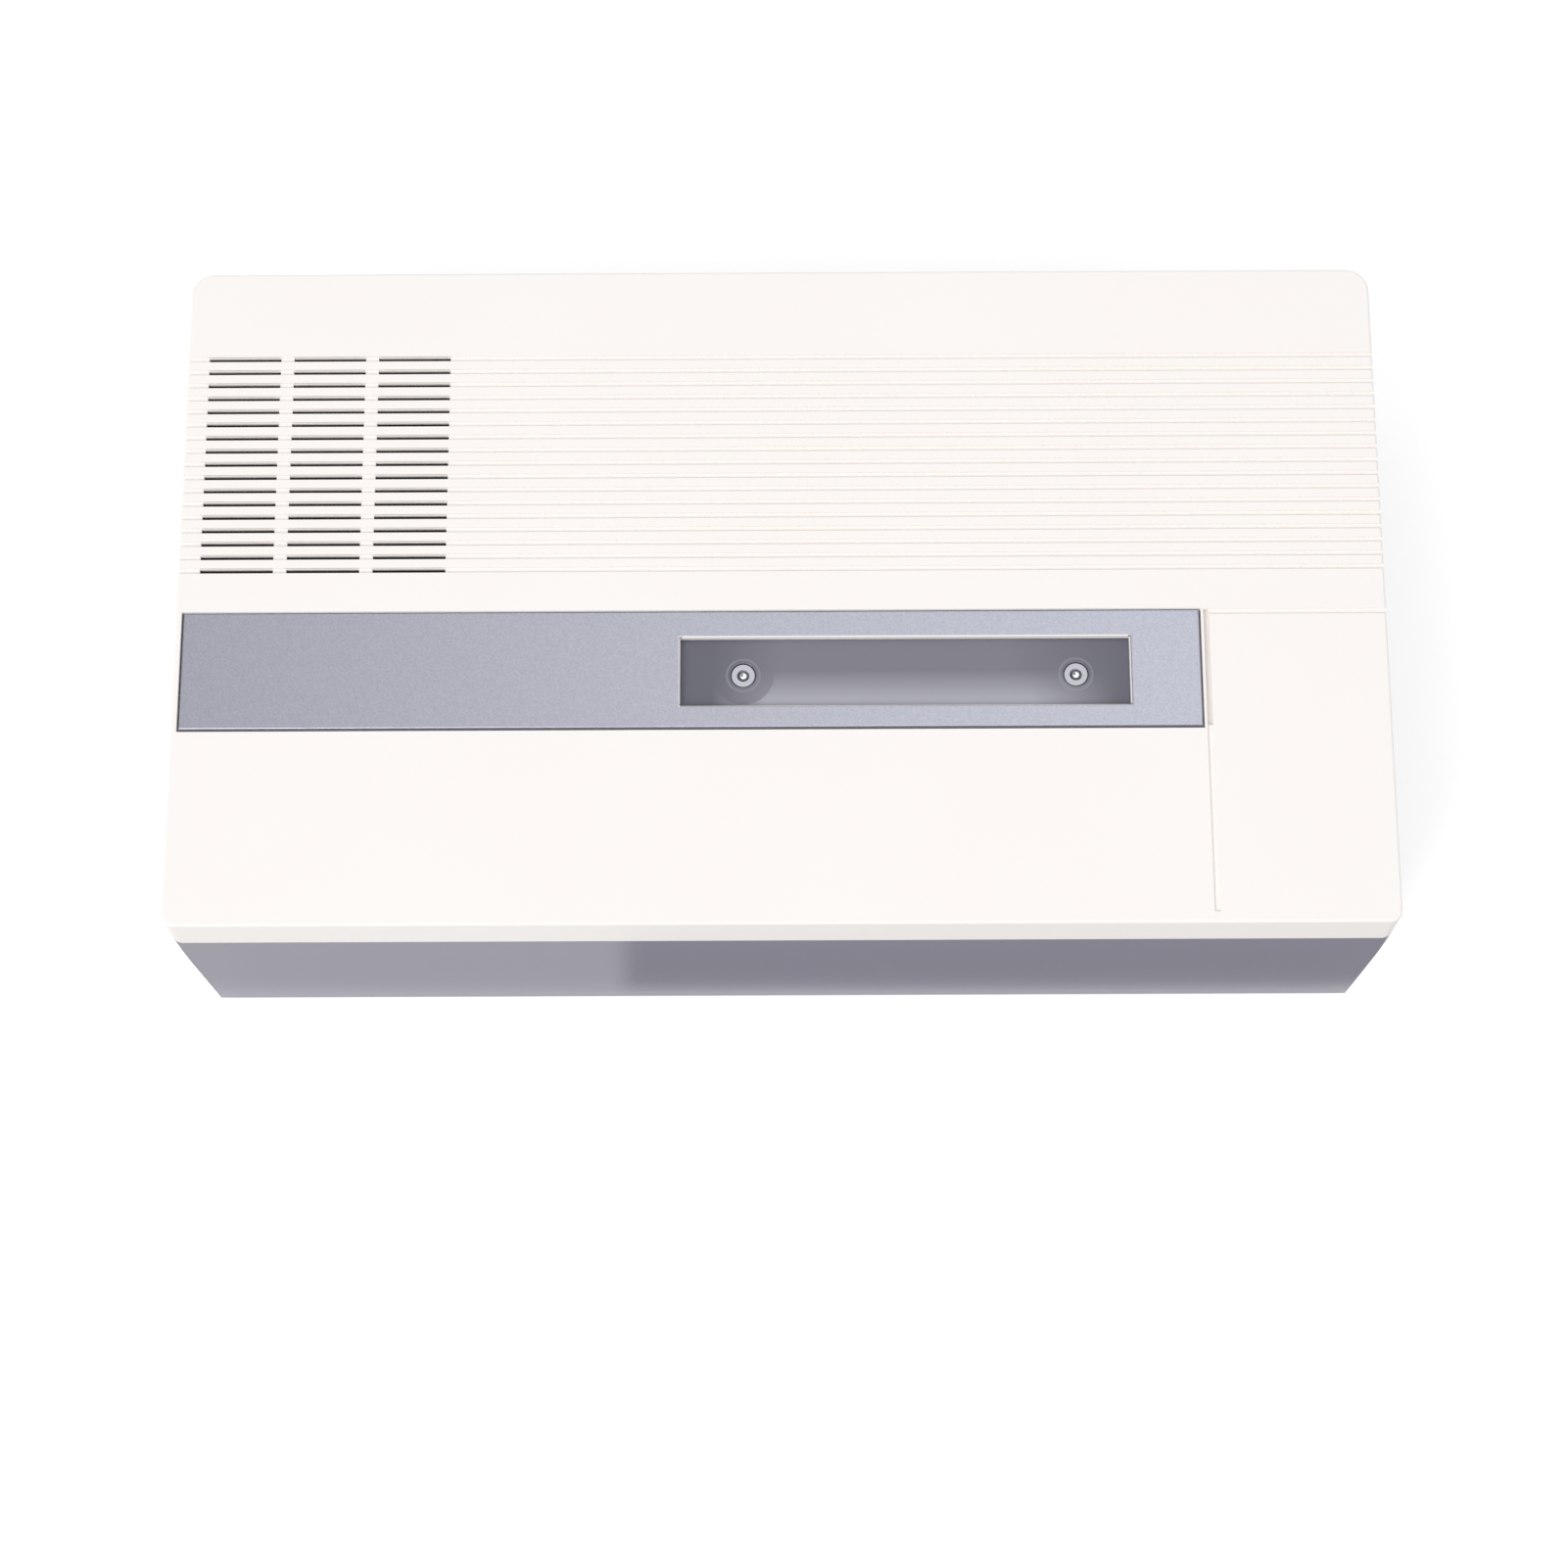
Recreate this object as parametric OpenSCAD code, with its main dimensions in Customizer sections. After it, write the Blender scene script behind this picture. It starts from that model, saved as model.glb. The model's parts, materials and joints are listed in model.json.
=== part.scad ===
// Portable cassette player. A white lid, hinged along the back edge, closes over a grey tub that
// holds the tape deck, its drive and keys, the speaker and the board. The cassette lies with its
// label edge at the front and its tape edge at the back, where the head and the keys are.

/* [Case] */
// Width of the lid
case_w = 155; // [139.5:0.5:180]
// Depth of the lid from front to back
case_d = 88.8; // [79.8:0.2:110]
// Height of the grey tub without its feet
tub_h = 32; // [28.8:0.1:45]
// Height of the white lid
lid_h = 8.3; // [7.1:0.1:12]
// Thickness of the side walls
wall = 2; // [1.6:0.1:2.2]
// Thickness of the lid's top
top_t = 2; // [1.6:0.1:2.2]
// Thickness of the tub's floor
floor_t = 2.2; // [1.8:0.1:2.5]
// Radius of the upright corners at the back
corner_r = 3; // [2.6:0.1:5]
// Radius of the lid's upright corners at the front
front_r = 1.5; // [0.8:0.1:3]
// Radius of the tub's upright corners at the front
tub_r = 0.5; // [0.3:0.1:0.8]
// How far the tub stands back from the lid at the front and the back
tub_inset = 0.5; // [0.2:0.1:0.8]
// How far the tub's rim stands back from the lid at the sides
side_inset = 0.1; // [0.05:0.05:0.5]
// How far the tub's sides lean in below the rim
side_draft = 1.3; // [0.2:0.1:2]
// Gap between the tub's rim and the lid
part_gap = 0.3; // [0.2:0.1:0.6]
// Height of the rubber feet below the tub
foot_h = 1.2; // [0.8:0.1:4]
// Diameter of the rubber feet
foot_d = 10; // [6:0.5:14]
// Depth of the seat that holds each foot
foot_seat = 0.8; // [0.4:0.1:1]

/* [Lid top] */
// Middle of the grille from the lid's left edge
grille_inset = 18.6; // [16.7:0.1:24]
// First row of slots behind the strip
grille_gap = 5.7; // [4.4:0.1:8]
// Number of slot rows and ribs
grille_rows = 17; // [5:1:20]
// Distance between slot rows
row_pitch = 1.84; // [1.7:0.02:2]
// Distance between slot columns
slot_pitch = 11.1; // [10.5:0.1:11.4]
// Length of one slot
slot_l = 9.4; // [6:0.1:9.8]
// Width of one slot
slot_w = 0.65; // [0.4:0.05:0.7]
// Thickness of the lid at the slots
grille_t = 0.9; // [0.7:0.1:1.4]
// Width of the groove beside each row
rib_w = 0.7; // [0.6:0.1:1.2]
// Depth of the grooves between the ribs
rib_depth = 0.45; // [0.2:0.05:0.6]
// Width of the long grooves right of the strip
groove_w = 0.7; // [0.4:0.1:1]
// Depth of the long grooves
groove_depth = 0.35; // [0.2:0.05:0.6]

/* [Strip and window] */
// Depth of the grey strip from front to back
strip_d = 15.5; // [15.4:0.1:18]
// Thickness of the strip
strip_t = 1.2; // [0.8:0.1:1.4]
// How far the strip lies below the lid's top
strip_drop = 0.4; // [0.2:0.1:1.4]
// White border left of the strip
strip_border = 0.8; // [0.5:0.1:3]
// Length of the strip right of the window
strip_past = 9; // [4:0.1:12]
// Width of the window
window_w = 57.4; // [54:0.2:60]
// Depth of the window from front to back
window_d = 9.2; // [7:0.1:9.6]
// Middle of the window left of the reels' middle
window_shift = 0.6; // [-1:0.1:1]
// Middle of the window behind the reel line
window_back = 0.2; // [-0.5:0.1:0.5]
// Thickness of the window pane
pane_t = 1.5; // [1:0.1:1.6]
// How far the pane reaches under the strip
pane_lap = 2; // [1:0.1:2.4]
// Diameter of the holes for the spindle ends
pane_hole_d = 3.5; // [3.4:0.1:5]

/* [Cassette space] */
// Middle of the cassette right of the middle of the case
cass_x = 16.45; // [14:0.05:18]
// Room for the head and the keys between the tape edge and the lid's back edge
back_room = 21; // [20.4:0.1:40]
// Tape edge behind the reel line
tape_edge = 34.6; // [34.4:0.1:36]
// Distance between the reels
reel_pitch = 42.5; // [42:0.1:43]
// Thickness of the cassette at its label
cass_t = 8.7; // [8:0.1:9]
// Thickness of the cassette at its tape edge
cass_thick = 12; // [11.6:0.1:12]
// Clearance between the cassette and the pane
cass_clear = 0.4; // [0.3:0.05:0.6]

/* [Deck] */
// Thickness of the deck plate
deck_t = 2; // [1.6:0.1:2.4]
// Clearance under the thick part of the cassette
deck_gap = 1.35; // [1.2:0.05:1.6]
// Capstan in front of the tape edge
capstan_in = 5.2; // [5:0.1:6]
// Capstan left of the cassette's middle
capstan_off = 20.5; // [20:0.1:21]
// Diameter of the capstan
capstan_d = 2; // [1.8:0.1:2.4]
// Diameter of the reel shafts
reel_shaft_d = 1.2; // [1:0.1:1.4]
// Diameter of the sleeve's upper end
sleeve_tip_d = 3; // [2.6:0.1:3.2]
// Diameter of the reel tables
reel_table_d = 20; // [16:0.5:22]
// Diameter of the flywheel
flywheel_d = 34; // [28:0.5:36]
// Diameter of the take-up pulley
takeup_d = 22; // [16:0.5:24]
// Diameter of the motor
motor_d = 24; // [20:0.5:25]
// Height of the motor
motor_h = 9; // [8:0.5:12]
// Diameter of the motor pulley
motor_pulley_d = 9; // [7:0.5:11]
// Diameter of the pinch roller
pinch_d = 11; // [10:0.5:11.5]

/* [Keys] */
// Travel of the keys and of the head carriage
key_travel = 5; // [4:0.1:5.2]
// How far the keys stand out of the back
key_out = 5.8; // [5.6:0.1:8]
// Width of a key
key_w = 15; // [10:0.5:15.4]
// Height of a key
key_h = 7; // [5:0.2:7.4]
// Distance between keys
key_pitch = 18; // [17.8:0.1:18.4]
// Diameter of the key stems
stem_d = 3.8; // [3:0.1:4]
// Turns of each return spring
spring_turns = 5; // [3:1:6]
// Wire diameter of the return springs
spring_wire = 0.6; // [0.4:0.05:0.7]

/* [Sound and power] */
// Diameter of the speaker
speaker_d = 27; // [24:0.5:30]
// Diameter of the volume wheel
volume_d = 18; // [15:0.5:19]
// How far the volume wheel stands out of the back
volume_out = 2.2; // [1:0.1:3]
// Headphone jack from the lid's front edge
jack_y = 28; // [22:0.5:32]
// Diameter of the headphone bore
jack_bore_d = 3.6; // [3.55:0.05:3.7]
// Depth of the headphone bore
jack_depth = 14; // [12:0.5:15]
// Charging socket from the lid's front edge
usb_y = 45; // [40:0.5:52]
// Length of the battery pack
battery_w = 62; // [40:1:66]
// Depth of the battery pack from front to back
battery_d = 30; // [20:1:36]
// Thickness of the battery pack
battery_t = 7; // [5:0.1:8.6]

/* [Hidden] */
$fn = 48;

// Fits: press for pieces fixed together, run for turning shafts, slide for guided pieces, room for the rest
press = 0.02;
run = 0.05;
slide = 0.3;
room = 0.4;
eps = 0.01;
over = 1;

// Outline of the case. The front of the lid and the ends of the keys are as far from the origin.
x_edge = case_w / 2;
y_front = -(case_d - tub_inset + key_out) / 2;
y_back = y_front + case_d;
tub_x = x_edge - side_inset;
tub_front = y_front + tub_inset;
tub_back = y_back - tub_inset;
in_x = tub_x - wall - side_draft;
in_front = tub_front + wall;
in_back = tub_back - wall;
in_r = corner_r - wall;
tape_y = y_back - back_room;
reel_y = tape_y - tape_edge;

// Levels, from the floor up and from the lid's top down
floor_z = foot_h + floor_t;
rim_z = foot_h + tub_h;
lean = atan(side_draft / tub_h);
lid_z = rim_z + part_gap;
top_z = lid_z + lid_h;
lid_under = top_z - top_t;
strip_top = top_z - strip_drop;
strip_z = strip_top - strip_t;
pane_z = strip_z - pane_t;
cass_top = pane_z - cass_clear;
cass_mid = cass_top - cass_t / 2;
cass_z = cass_top - cass_t;
thick_z = cass_mid - cass_thick / 2;
deck_top = thick_z - deck_gap;
deck_z = deck_top - deck_t;

// Strip and window, and the grille behind them
window_x = cass_x - window_shift;
window_y = reel_y + window_back;
strip_fit = 0.2;
strip_front_fit = 0.48;
strip_back_fit = 0.12;
pane_fit = 0.1;
strip_x0 = -x_edge + strip_border + strip_fit;
strip_x1 = window_x + window_w / 2 + strip_past;
strip_back = 0.47;
strip_y0 = reel_y - strip_d / 2 + strip_back;
strip_y1 = strip_y0 + strip_d;
grille_x = -x_edge + grille_inset;
grille_d = (grille_rows - 1) * row_pitch;
grille_y0 = strip_y1 + grille_gap;
grille_y = grille_y0 + grille_d / 2;
cloth_t = 0.4;
cloth_lap = 1.2;
grille_x1 = grille_x + slot_pitch + slot_l / 2 + cloth_lap;
cloth_z = top_z - grille_t;
tray_t = 1;
tray_wall = 1.5;
groove_off = 0.3;
groove_x = strip_x1 + strip_fit + groove_off;
groove_front = y_front + 1.4;
step_depth = 0.9;

// Leaf springs that press the cassette onto its rests, and the stakes under the lid that hold them
leaf_xs = [cass_x - 30, cass_x + 30];
leaf_w = 7;
leaf_t = 0.3;
leaf_l = 9;
leaf_foot = 2;
leaf_in = 0.5;
leaf_y = y_front + wall + leaf_in + leaf_foot;
leaf_lip = 3;
stake_r = 1;
stake_h = 0.9;

// Hinge along the back edge
hinge_r = 1.8;
hinge_pin_r = 0.8;
hinge_y = y_back + 0.6;
hinge_z = rim_z + part_gap / 2;
hinge_x = x_edge - 19.5;
hinge_l = 24;
knuckle_l = 7;

// Screws: head radius, head height and shank radius
screw_head_r = 2.1;
screw_head_h = 1.1;
screw_r = 0.95;
screw_short = 0.3;
post_r = 3;
post_screw_l = 8;
post_x = in_x - 4;
post_front = in_front + 4;
post_back = in_back - 4.8;

// Reels, capstan and drive. The belts' levels hang from the deck.
takeup_x = cass_x - reel_pitch / 2;
supply_x = cass_x + reel_pitch / 2;
cap_x = cass_x - capstan_off;
cap_y = tape_y - capstan_in;
bush_r = 2.5;
bush_down = 3;
rest_l = 8;
rest_w = 3;
rest_off = 34;
rest_front = y_front + 7.5;
rest_back = tape_y - 16;
locator_r = 1.2;
locator_in = 7.5;
table_gap = 0.4;
table_t = 1.6;
sleeve_core_r = 2.6;
tip_recess = 1;
tip_ring = 0.18;
fins = 6;
fin_r = 3.7;
fin_t = 1;
fin_down = 1;
clip_gap = 0.3;
clip_t = 0.8;
clip_r = 2.2;
shaft_past = 0.6;
belt_t = 1.2;
belt_h = 1.4;
belt_fit = 0.12;
belt_lip = 1;
belt_steps = 48;
pulley_h = 3.4;
pulley_gap = 0.3;
hub_d = 10;
wheel_h = 4.6;
motor_boss_h = 1;
drive_z = deck_z - motor_h - motor_boss_h - pulley_gap - pulley_h / 2;
bearing_r = 3;
bearing_down = 5;
takeup_z = deck_z - bearing_down - pulley_gap - pulley_h / 2;
capstan_top = cass_mid + 5;
pad_t = 0.6;
pad_r = 2.5;
bracket_t = 1;
bracket_w = 10;
bracket_span = flywheel_d / 2 + 6;
bracket_foot = 7;
wheel_z = drive_z - wheel_h / 2;
bracket_top = wheel_z - 0.9;
motor_shaft_r = 1;
motor_shaft_in = 2.6;
motor_boss_r = 3.5;
motor_screw_off = 9.5;
motor_thread = 3;

// Head carriage, pinch roller and keys, placed from the tape edge
carriage_t = 1;
carriage_z = deck_top + 0.15;
carriage_top = carriage_z + carriage_t;
carriage_front = tape_y + 2.1;
collar_y = tape_y + 13.7;
collar_l = 2.2;
collar_r = 3.2;
carriage_back = collar_y - slide;
carriage_x0 = cap_x - 17;
post_mid_x = carriage_x0 - 7;
carriage_x1 = cass_x + 26;
stud_x = [cass_x - 13.5, cass_x + 19.5];
stud_y = tape_y + 4.6;
stud_r = 1.2;
stud_head_r = 2.4;
stud_head_h = 0.8;
stud_gap = 0.2;
head_w = 12;
head_d = 8.4;
head_h = 10;
head_gap = 0.8;
head_face_r = 9.6;
head_base_t = 1;
head_ear = 4.4;
pinch_x = cap_x;
pinch_y = cap_y + capstan_d / 2 + pinch_d / 2 + slide + key_travel;
pivot_x = cap_x - 12;
pivot_y = pinch_y + 3.3;
pivot_r = 1;
arm_t = 0.9;
arm_w = 4;
arm_z = carriage_top + slide;
arm_h = 11;
axle_r = 0.8;
key_xs = [cass_x - key_pitch / 2, cass_x + key_pitch / 2, cass_x + key_pitch * 3 / 2];
key_z = deck_z - 4.2;
key_flange_w = key_pitch - 0.8;
key_flange_h = 8;
key_flange_t = 1.2;
key_flange_gap = 0.1;
stem_past = 1;
tab_w = 3;
tab_up = 2.6;
guide_y = tape_y + 3;
guide_t = 1;
guide_drop = 8;
guide_x0 = key_xs[0] - 6;
guide_x1 = key_xs[2] + 6;
motor_room = 4.05;
motor_x = in_x - motor_room - motor_d / 2;
motor_y = guide_y - motor_d / 2 - 0.5;
guide_tab_w = 6;
guide_tab_d = 6;
guide_tab_xs = [(key_xs[0] + key_xs[1]) / 2, (key_xs[1] + key_xs[2]) / 2];
coil_room = 0.35;
coil_seat = 0.1;
coil_r = stem_d / 2 + coil_room + spring_wire / 2;
coil_y0 = guide_y + guide_t + coil_seat;
coil_l = collar_y - coil_seat - coil_y0 - spring_wire;
rings = 8;
sides = 6;
switch_size = [8, 4, 5];
switch_y = guide_y - 9;
contact_size = [0.4, 4, 3];
contact_off = 2;

// Speaker, board, sockets and battery
gasket_t = 2;
speaker_flange_t = 1.2;
tower_z = cloth_z - cloth_t - room - gasket_t - speaker_flange_t;
tower_wall = 1.8;
speaker_r = speaker_d / 2;
basket_r = speaker_r - tower_wall - slide;
basket_foot_r = 7;
basket_h = 8;
skin_t = 0.9;
magnet_r = 9;
magnet_h = 6;
cone_lap = 0.6;
cone_t = 0.4;
cone_depth = 4;
cap_r = 4;
cap_up = 1.4;
board_x0 = -in_x + 8;
board_x1 = post_mid_x - post_r - 1.95;
board_y0 = y_front + 12;
board_y1 = in_back - 0.8;
board_t = 1.6;
standoff_h = 4;
standoff_r = 2.5;
board_z = floor_z + standoff_h;
board_top = board_z + board_t;
board_screw_in = 3;
board_screw_span = 53;
board_screw_xs = [board_x0 + board_screw_in, board_x1 - board_screw_in];
board_screw_ys = [board_y0 + board_screw_in, board_y0 + board_screw_in + board_screw_span];
chip_size = [8, 6, 1.4];
chip_x = board_x0 + 17;
chip_y = board_y0 + 24;
chip_pitch = 16;
chip_ys = [chip_y, chip_y + chip_pitch];
can_r = 2.5;
can_h = 7;
can_pitch = 7;
can_in = 3.4;
can_x = board_x1 - 2 * can_pitch - can_in;
can_y = board_y0 + 12;
jack_h = 6;
jack_w = 7;
jack_z = board_top + jack_h / 2;
jack_barrel_r = 3;
jack_end = 1.5;
jack_face = side_x(jack_z - jack_barrel_r);
usb_w = 9;
usb_h = 3.2;
usb_l = 11.5;
usb_depth = 7.5;
usb_skin = 0.35;
usb_in = 0.5;
tongue_t = 0.7;
tongue_in = 1.2;
volume_x = -in_x + 18;
volume_y = tub_back + volume_out - volume_d / 2;
pot_h = 3;
pot_w = 9;
volume_z = board_top + pot_h;
volume_h = 3;
pot_gap = 0.2;
pot_shaft_r = 1.5;
notches = 30;
notch_r = 0.5;
notch_out = 0.2;
battery_x = cass_x - 6;
battery_y = y_front + 5;
battery_r = 2;

// A block with round upright corners, standing on z = 0
module rounded_slab(x0, x1, y0, y1, h, r) {
    translate([x0 + r, y0, 0]) cube([x1 - x0 - 2 * r, y1 - y0, h]);
    translate([x0, y0 + r, 0]) cube([x1 - x0, y1 - y0 - 2 * r, h]);
    for (x = [x0 + r, x1 - r], y = [y0 + r, y1 - r])
        translate([x, y, 0]) cylinder(r = r, h = h);
}

// A slab on the middle line whose corners have one radius at the front and another at the back
module case_slab(half, y0, y1, h, front, back) {
    block([-half, y0 + front, 0], [half, y1 - back, h]);
    block([-half + front, y0, 0], [half - front, y1 - back, h]);
    block([-half + back, y0 + front, 0], [half - back, y1, h]);
    for (side = [-1, 1]) {
        translate([side * (half - front), y0 + front, 0]) cylinder(r = front, h = h);
        translate([side * (half - back), y1 - back, 0]) cylinder(r = back, h = h);
    }
}

// Takes away what stands outside a side wall that leans in below the rim
module lean_cut(half) {
    for (flip = [0, 1])
        mirror([flip, 0, 0]) translate([half, 0, rim_z]) rotate([0, lean, 0])
            block([0, y_front, -2 * tub_h], [2 * side_draft + over, y_back, over]);
}

// How far the tub's outer side is from the middle at a height
function side_x(z) = tub_x - side_draft * (rim_z - z) / tub_h;

// A block given by two opposite corners
module block(low, high) {
    translate(low) cube(high - low);
}

module tube(r, bore, h) {
    difference() {
        cylinder(r = r, h = h);
        translate([0, 0, -over]) cylinder(r = bore, h = h + 2 * over);
    }
}

// A round bar along x from x0 to x1
module bar_x(x0, x1, y, z, r) {
    translate([x0, y, z]) rotate([0, 90, 0]) cylinder(r = r, h = x1 - x0);
}

// A round bar along y from y0 to y1
module bar_y(x, y0, y1, z, r) {
    translate([x, y0, z]) rotate([-90, 0, 0]) cylinder(r = r, h = y1 - y0);
}

// A pan-head screw under whose head z = 0 lies, with its shank pointing down
module screw(l) {
    cylinder(r = screw_head_r, h = screw_head_h);
    translate([0, 0, -l]) cylinder(r = screw_r, h = l + eps);
}

// Places of the deck's posts
module at_posts() {
    for (x = [-post_x, post_mid_x, post_x], y = [post_front, post_back])
        translate([x, y, 0]) children();
}

module at_board_screws() {
    for (x = board_screw_xs, y = board_screw_ys)
        translate([x, y, 0]) children();
}

module at_feet() {
    for (x = [-1, 1] * (tub_x - foot_d), y = [tub_front + foot_d, tub_back - foot_d])
        translate([x, y, 0]) children();
}

module at_reels() {
    for (x = [takeup_x, supply_x])
        translate([x, reel_y, 0]) children();
}

// The two outer knuckles of each hinge belong to the tub, the middle one to the lid
module tub_knuckles(r, extra) {
    for (side = [-1, 1], end = [-1, 1]) {
        middle = side * hinge_x + end * (hinge_l - knuckle_l) / 2;
        bar_x(middle - knuckle_l / 2 - extra, middle + knuckle_l / 2 + extra, hinge_y, hinge_z, r);
    }
}

module lid_knuckles(r, extra) {
    half = hinge_l / 2 - knuckle_l - slide + extra;
    for (side = [-1, 1])
        bar_x(side * hinge_x - half, side * hinge_x + half, hinge_y, hinge_z, r);
}

module tub() {
    color("#9e9eaa") difference() {
        union() {
            difference() {
                translate([0, 0, foot_h])
                    case_slab(tub_x, tub_front, tub_back, tub_h, tub_r, corner_r - tub_inset);
                lean_cut(tub_x);
                difference() {
                    translate([0, 0, floor_z])
                        rounded_slab(-tub_x + wall, tub_x - wall, in_front, in_back, tub_h, in_r);
                    lean_cut(tub_x - wall);
                }
            }
            at_posts() translate([0, 0, floor_z - eps]) cylinder(r = post_r, h = deck_z - floor_z + eps);
            at_board_screws() translate([0, 0, floor_z - eps]) cylinder(r = standoff_r, h = standoff_h + eps);
            tub_knuckles(hinge_r, 0);
        }
        at_posts() translate([0, 0, deck_z - post_screw_l])
            cylinder(r = screw_r + press, h = post_screw_l + over);
        at_board_screws() translate([0, 0, floor_z]) cylinder(r = screw_r + press, h = standoff_h + over);
        at_feet() translate([0, 0, foot_h - over]) cylinder(d = foot_d + 2 * press, h = over + foot_seat);
        lid_knuckles(hinge_r + room, room);
        tub_knuckles(hinge_pin_r + press, over);
        for (x = key_xs)
            block([x - key_w / 2 - slide, in_back - over, key_z - key_h / 2 - slide],
                  [x + key_w / 2 + slide, tub_back + over, key_z + key_h / 2 + slide]);
        block([volume_x - volume_d / 2, in_back - over, volume_z - room],
              [volume_x + volume_d / 2, tub_back + over, volume_z + volume_h + room]);
        bar_x(-tub_x - over, -in_x + over, y_front + jack_y, jack_z, jack_barrel_r + press);
        block([-tub_x - over, y_front + usb_y - usb_w / 2 - slide, board_top - slide],
              [-in_x + over, y_front + usb_y + usb_w / 2 + slide, board_top + usb_h + slide]);
    }
}

module feet() {
    color("#3c3c40") at_feet() cylinder(d = foot_d, h = foot_h + foot_seat);
}

// Through slots of the grille and the grooves that make the ribs
module grille_cuts() {
    for (row = [0 : grille_rows - 1]) {
        y = grille_y0 + row * row_pitch - slot_w / 2;
        block([-x_edge - over, y, top_z - rib_depth], [x_edge + over, y + rib_w, top_z + over]);
        for (column = [-1 : 1]) {
            x = grille_x + column * slot_pitch;
            block([x - slot_l / 2, y, lid_under - over], [x + slot_l / 2, y + slot_w, top_z + over]);
        }
    }
}

// Long shallow grooves right of the strip, deeper beside it
module long_grooves() {
    block([groove_x, groove_front, top_z - groove_depth], [groove_x + groove_w, strip_y1, top_z + over]);
    block([groove_x, strip_y0, top_z - step_depth], [groove_x + groove_w, strip_y1, top_z + over]);
    block([groove_x, strip_y1 - groove_w, top_z - groove_depth], [x_edge + over, strip_y1, top_z + over]);
}

module lid() {
    color("#fdf9f5") difference() {
        union() {
            difference() {
                translate([0, 0, lid_z]) case_slab(x_edge, y_front, y_back, lid_h, front_r, corner_r);
                translate([0, 0, lid_z - over])
                    rounded_slab(-x_edge + wall, x_edge - wall, y_front + wall, y_back - wall,
                                 lid_h - top_t + over, in_r);
            }
            block([-x_edge + wall / 2, strip_y0 - tray_wall, strip_z - tray_t],
                  [strip_x1 + tray_wall + groove_w, strip_y1 + tray_wall, lid_under + eps]);
            for (x = leaf_xs)
                translate([x, leaf_y, lid_under - stake_h]) cylinder(r = stake_r, h = stake_h + eps);
            lid_knuckles(hinge_r, 0);
        }
        block([strip_x0 - strip_fit, strip_y0 - strip_front_fit, strip_z],
              [strip_x1 + strip_fit, strip_y1 + strip_back_fit, top_z + over]);
        block([window_x - window_w / 2 - pane_lap - pane_fit, window_y - window_d / 2 - pane_lap - pane_fit,
               strip_z - tray_t - over],
              [window_x + window_w / 2 + pane_lap + pane_fit, window_y + window_d / 2 + pane_lap + pane_fit,
               strip_z + over]);
        block([-x_edge + wall, grille_y0 - cloth_lap - slide, lid_under - over],
              [grille_x1 + slide, grille_y0 + grille_d + cloth_lap + slide, cloth_z]);
        grille_cuts();
        long_grooves();
        tub_knuckles(hinge_r + room, room);
        lid_knuckles(hinge_pin_r + run, over);
    }
}

module accent_strip() {
    color("#b9bcc8") difference() {
        block([strip_x0, strip_y0, strip_z], [strip_x1, strip_y1, strip_top]);
        block([window_x - window_w / 2, window_y - window_d / 2, strip_z - over],
              [window_x + window_w / 2, window_y + window_d / 2, strip_top + over]);
    }
}

module window_pane() {
    color("#707078") difference() {
        block([window_x - window_w / 2 - pane_lap, window_y - window_d / 2 - pane_lap, pane_z],
              [window_x + window_w / 2 + pane_lap, window_y + window_d / 2 + pane_lap, strip_z]);
        at_reels() translate([0, 0, pane_z - over]) cylinder(d = pane_hole_d, h = pane_t + 2 * over);
    }
}

module grille_cloth() {
    color("#2a2a2c")
        block([-x_edge + wall + slide, grille_y0 - cloth_lap, cloth_z - cloth_t],
              [grille_x1, grille_y0 + grille_d + cloth_lap, cloth_z]);
}

// Two bent leaf springs under the lid press the cassette onto its rests
module cassette_springs() {
    dip = lid_under - cass_top - room;
    color("#c8cacc") for (x = leaf_xs)
        difference() {
            translate([x - leaf_w / 2, leaf_y, 0]) rotate([90, 0, 90]) linear_extrude(leaf_w)
                polygon([
                    [-leaf_foot, lid_under], [leaf_foot, lid_under],
                    [leaf_l - leaf_lip, lid_under - dip + leaf_t], [leaf_l, lid_under - dip / 2],
                    [leaf_l, lid_under - dip / 2 - leaf_t], [leaf_l - leaf_lip, lid_under - dip],
                    [leaf_foot, lid_under - leaf_t], [-leaf_foot, lid_under - leaf_t]
                ]);
            translate([x, leaf_y, lid_under - over]) cylinder(r = stake_r + press, h = 2 * over);
        }
}

module hinge_pins() {
    color("#c8cacc") for (side = [-1, 1])
        bar_x(side * hinge_x - hinge_l / 2, side * hinge_x + hinge_l / 2, hinge_y, hinge_z, hinge_pin_r);
}

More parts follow.
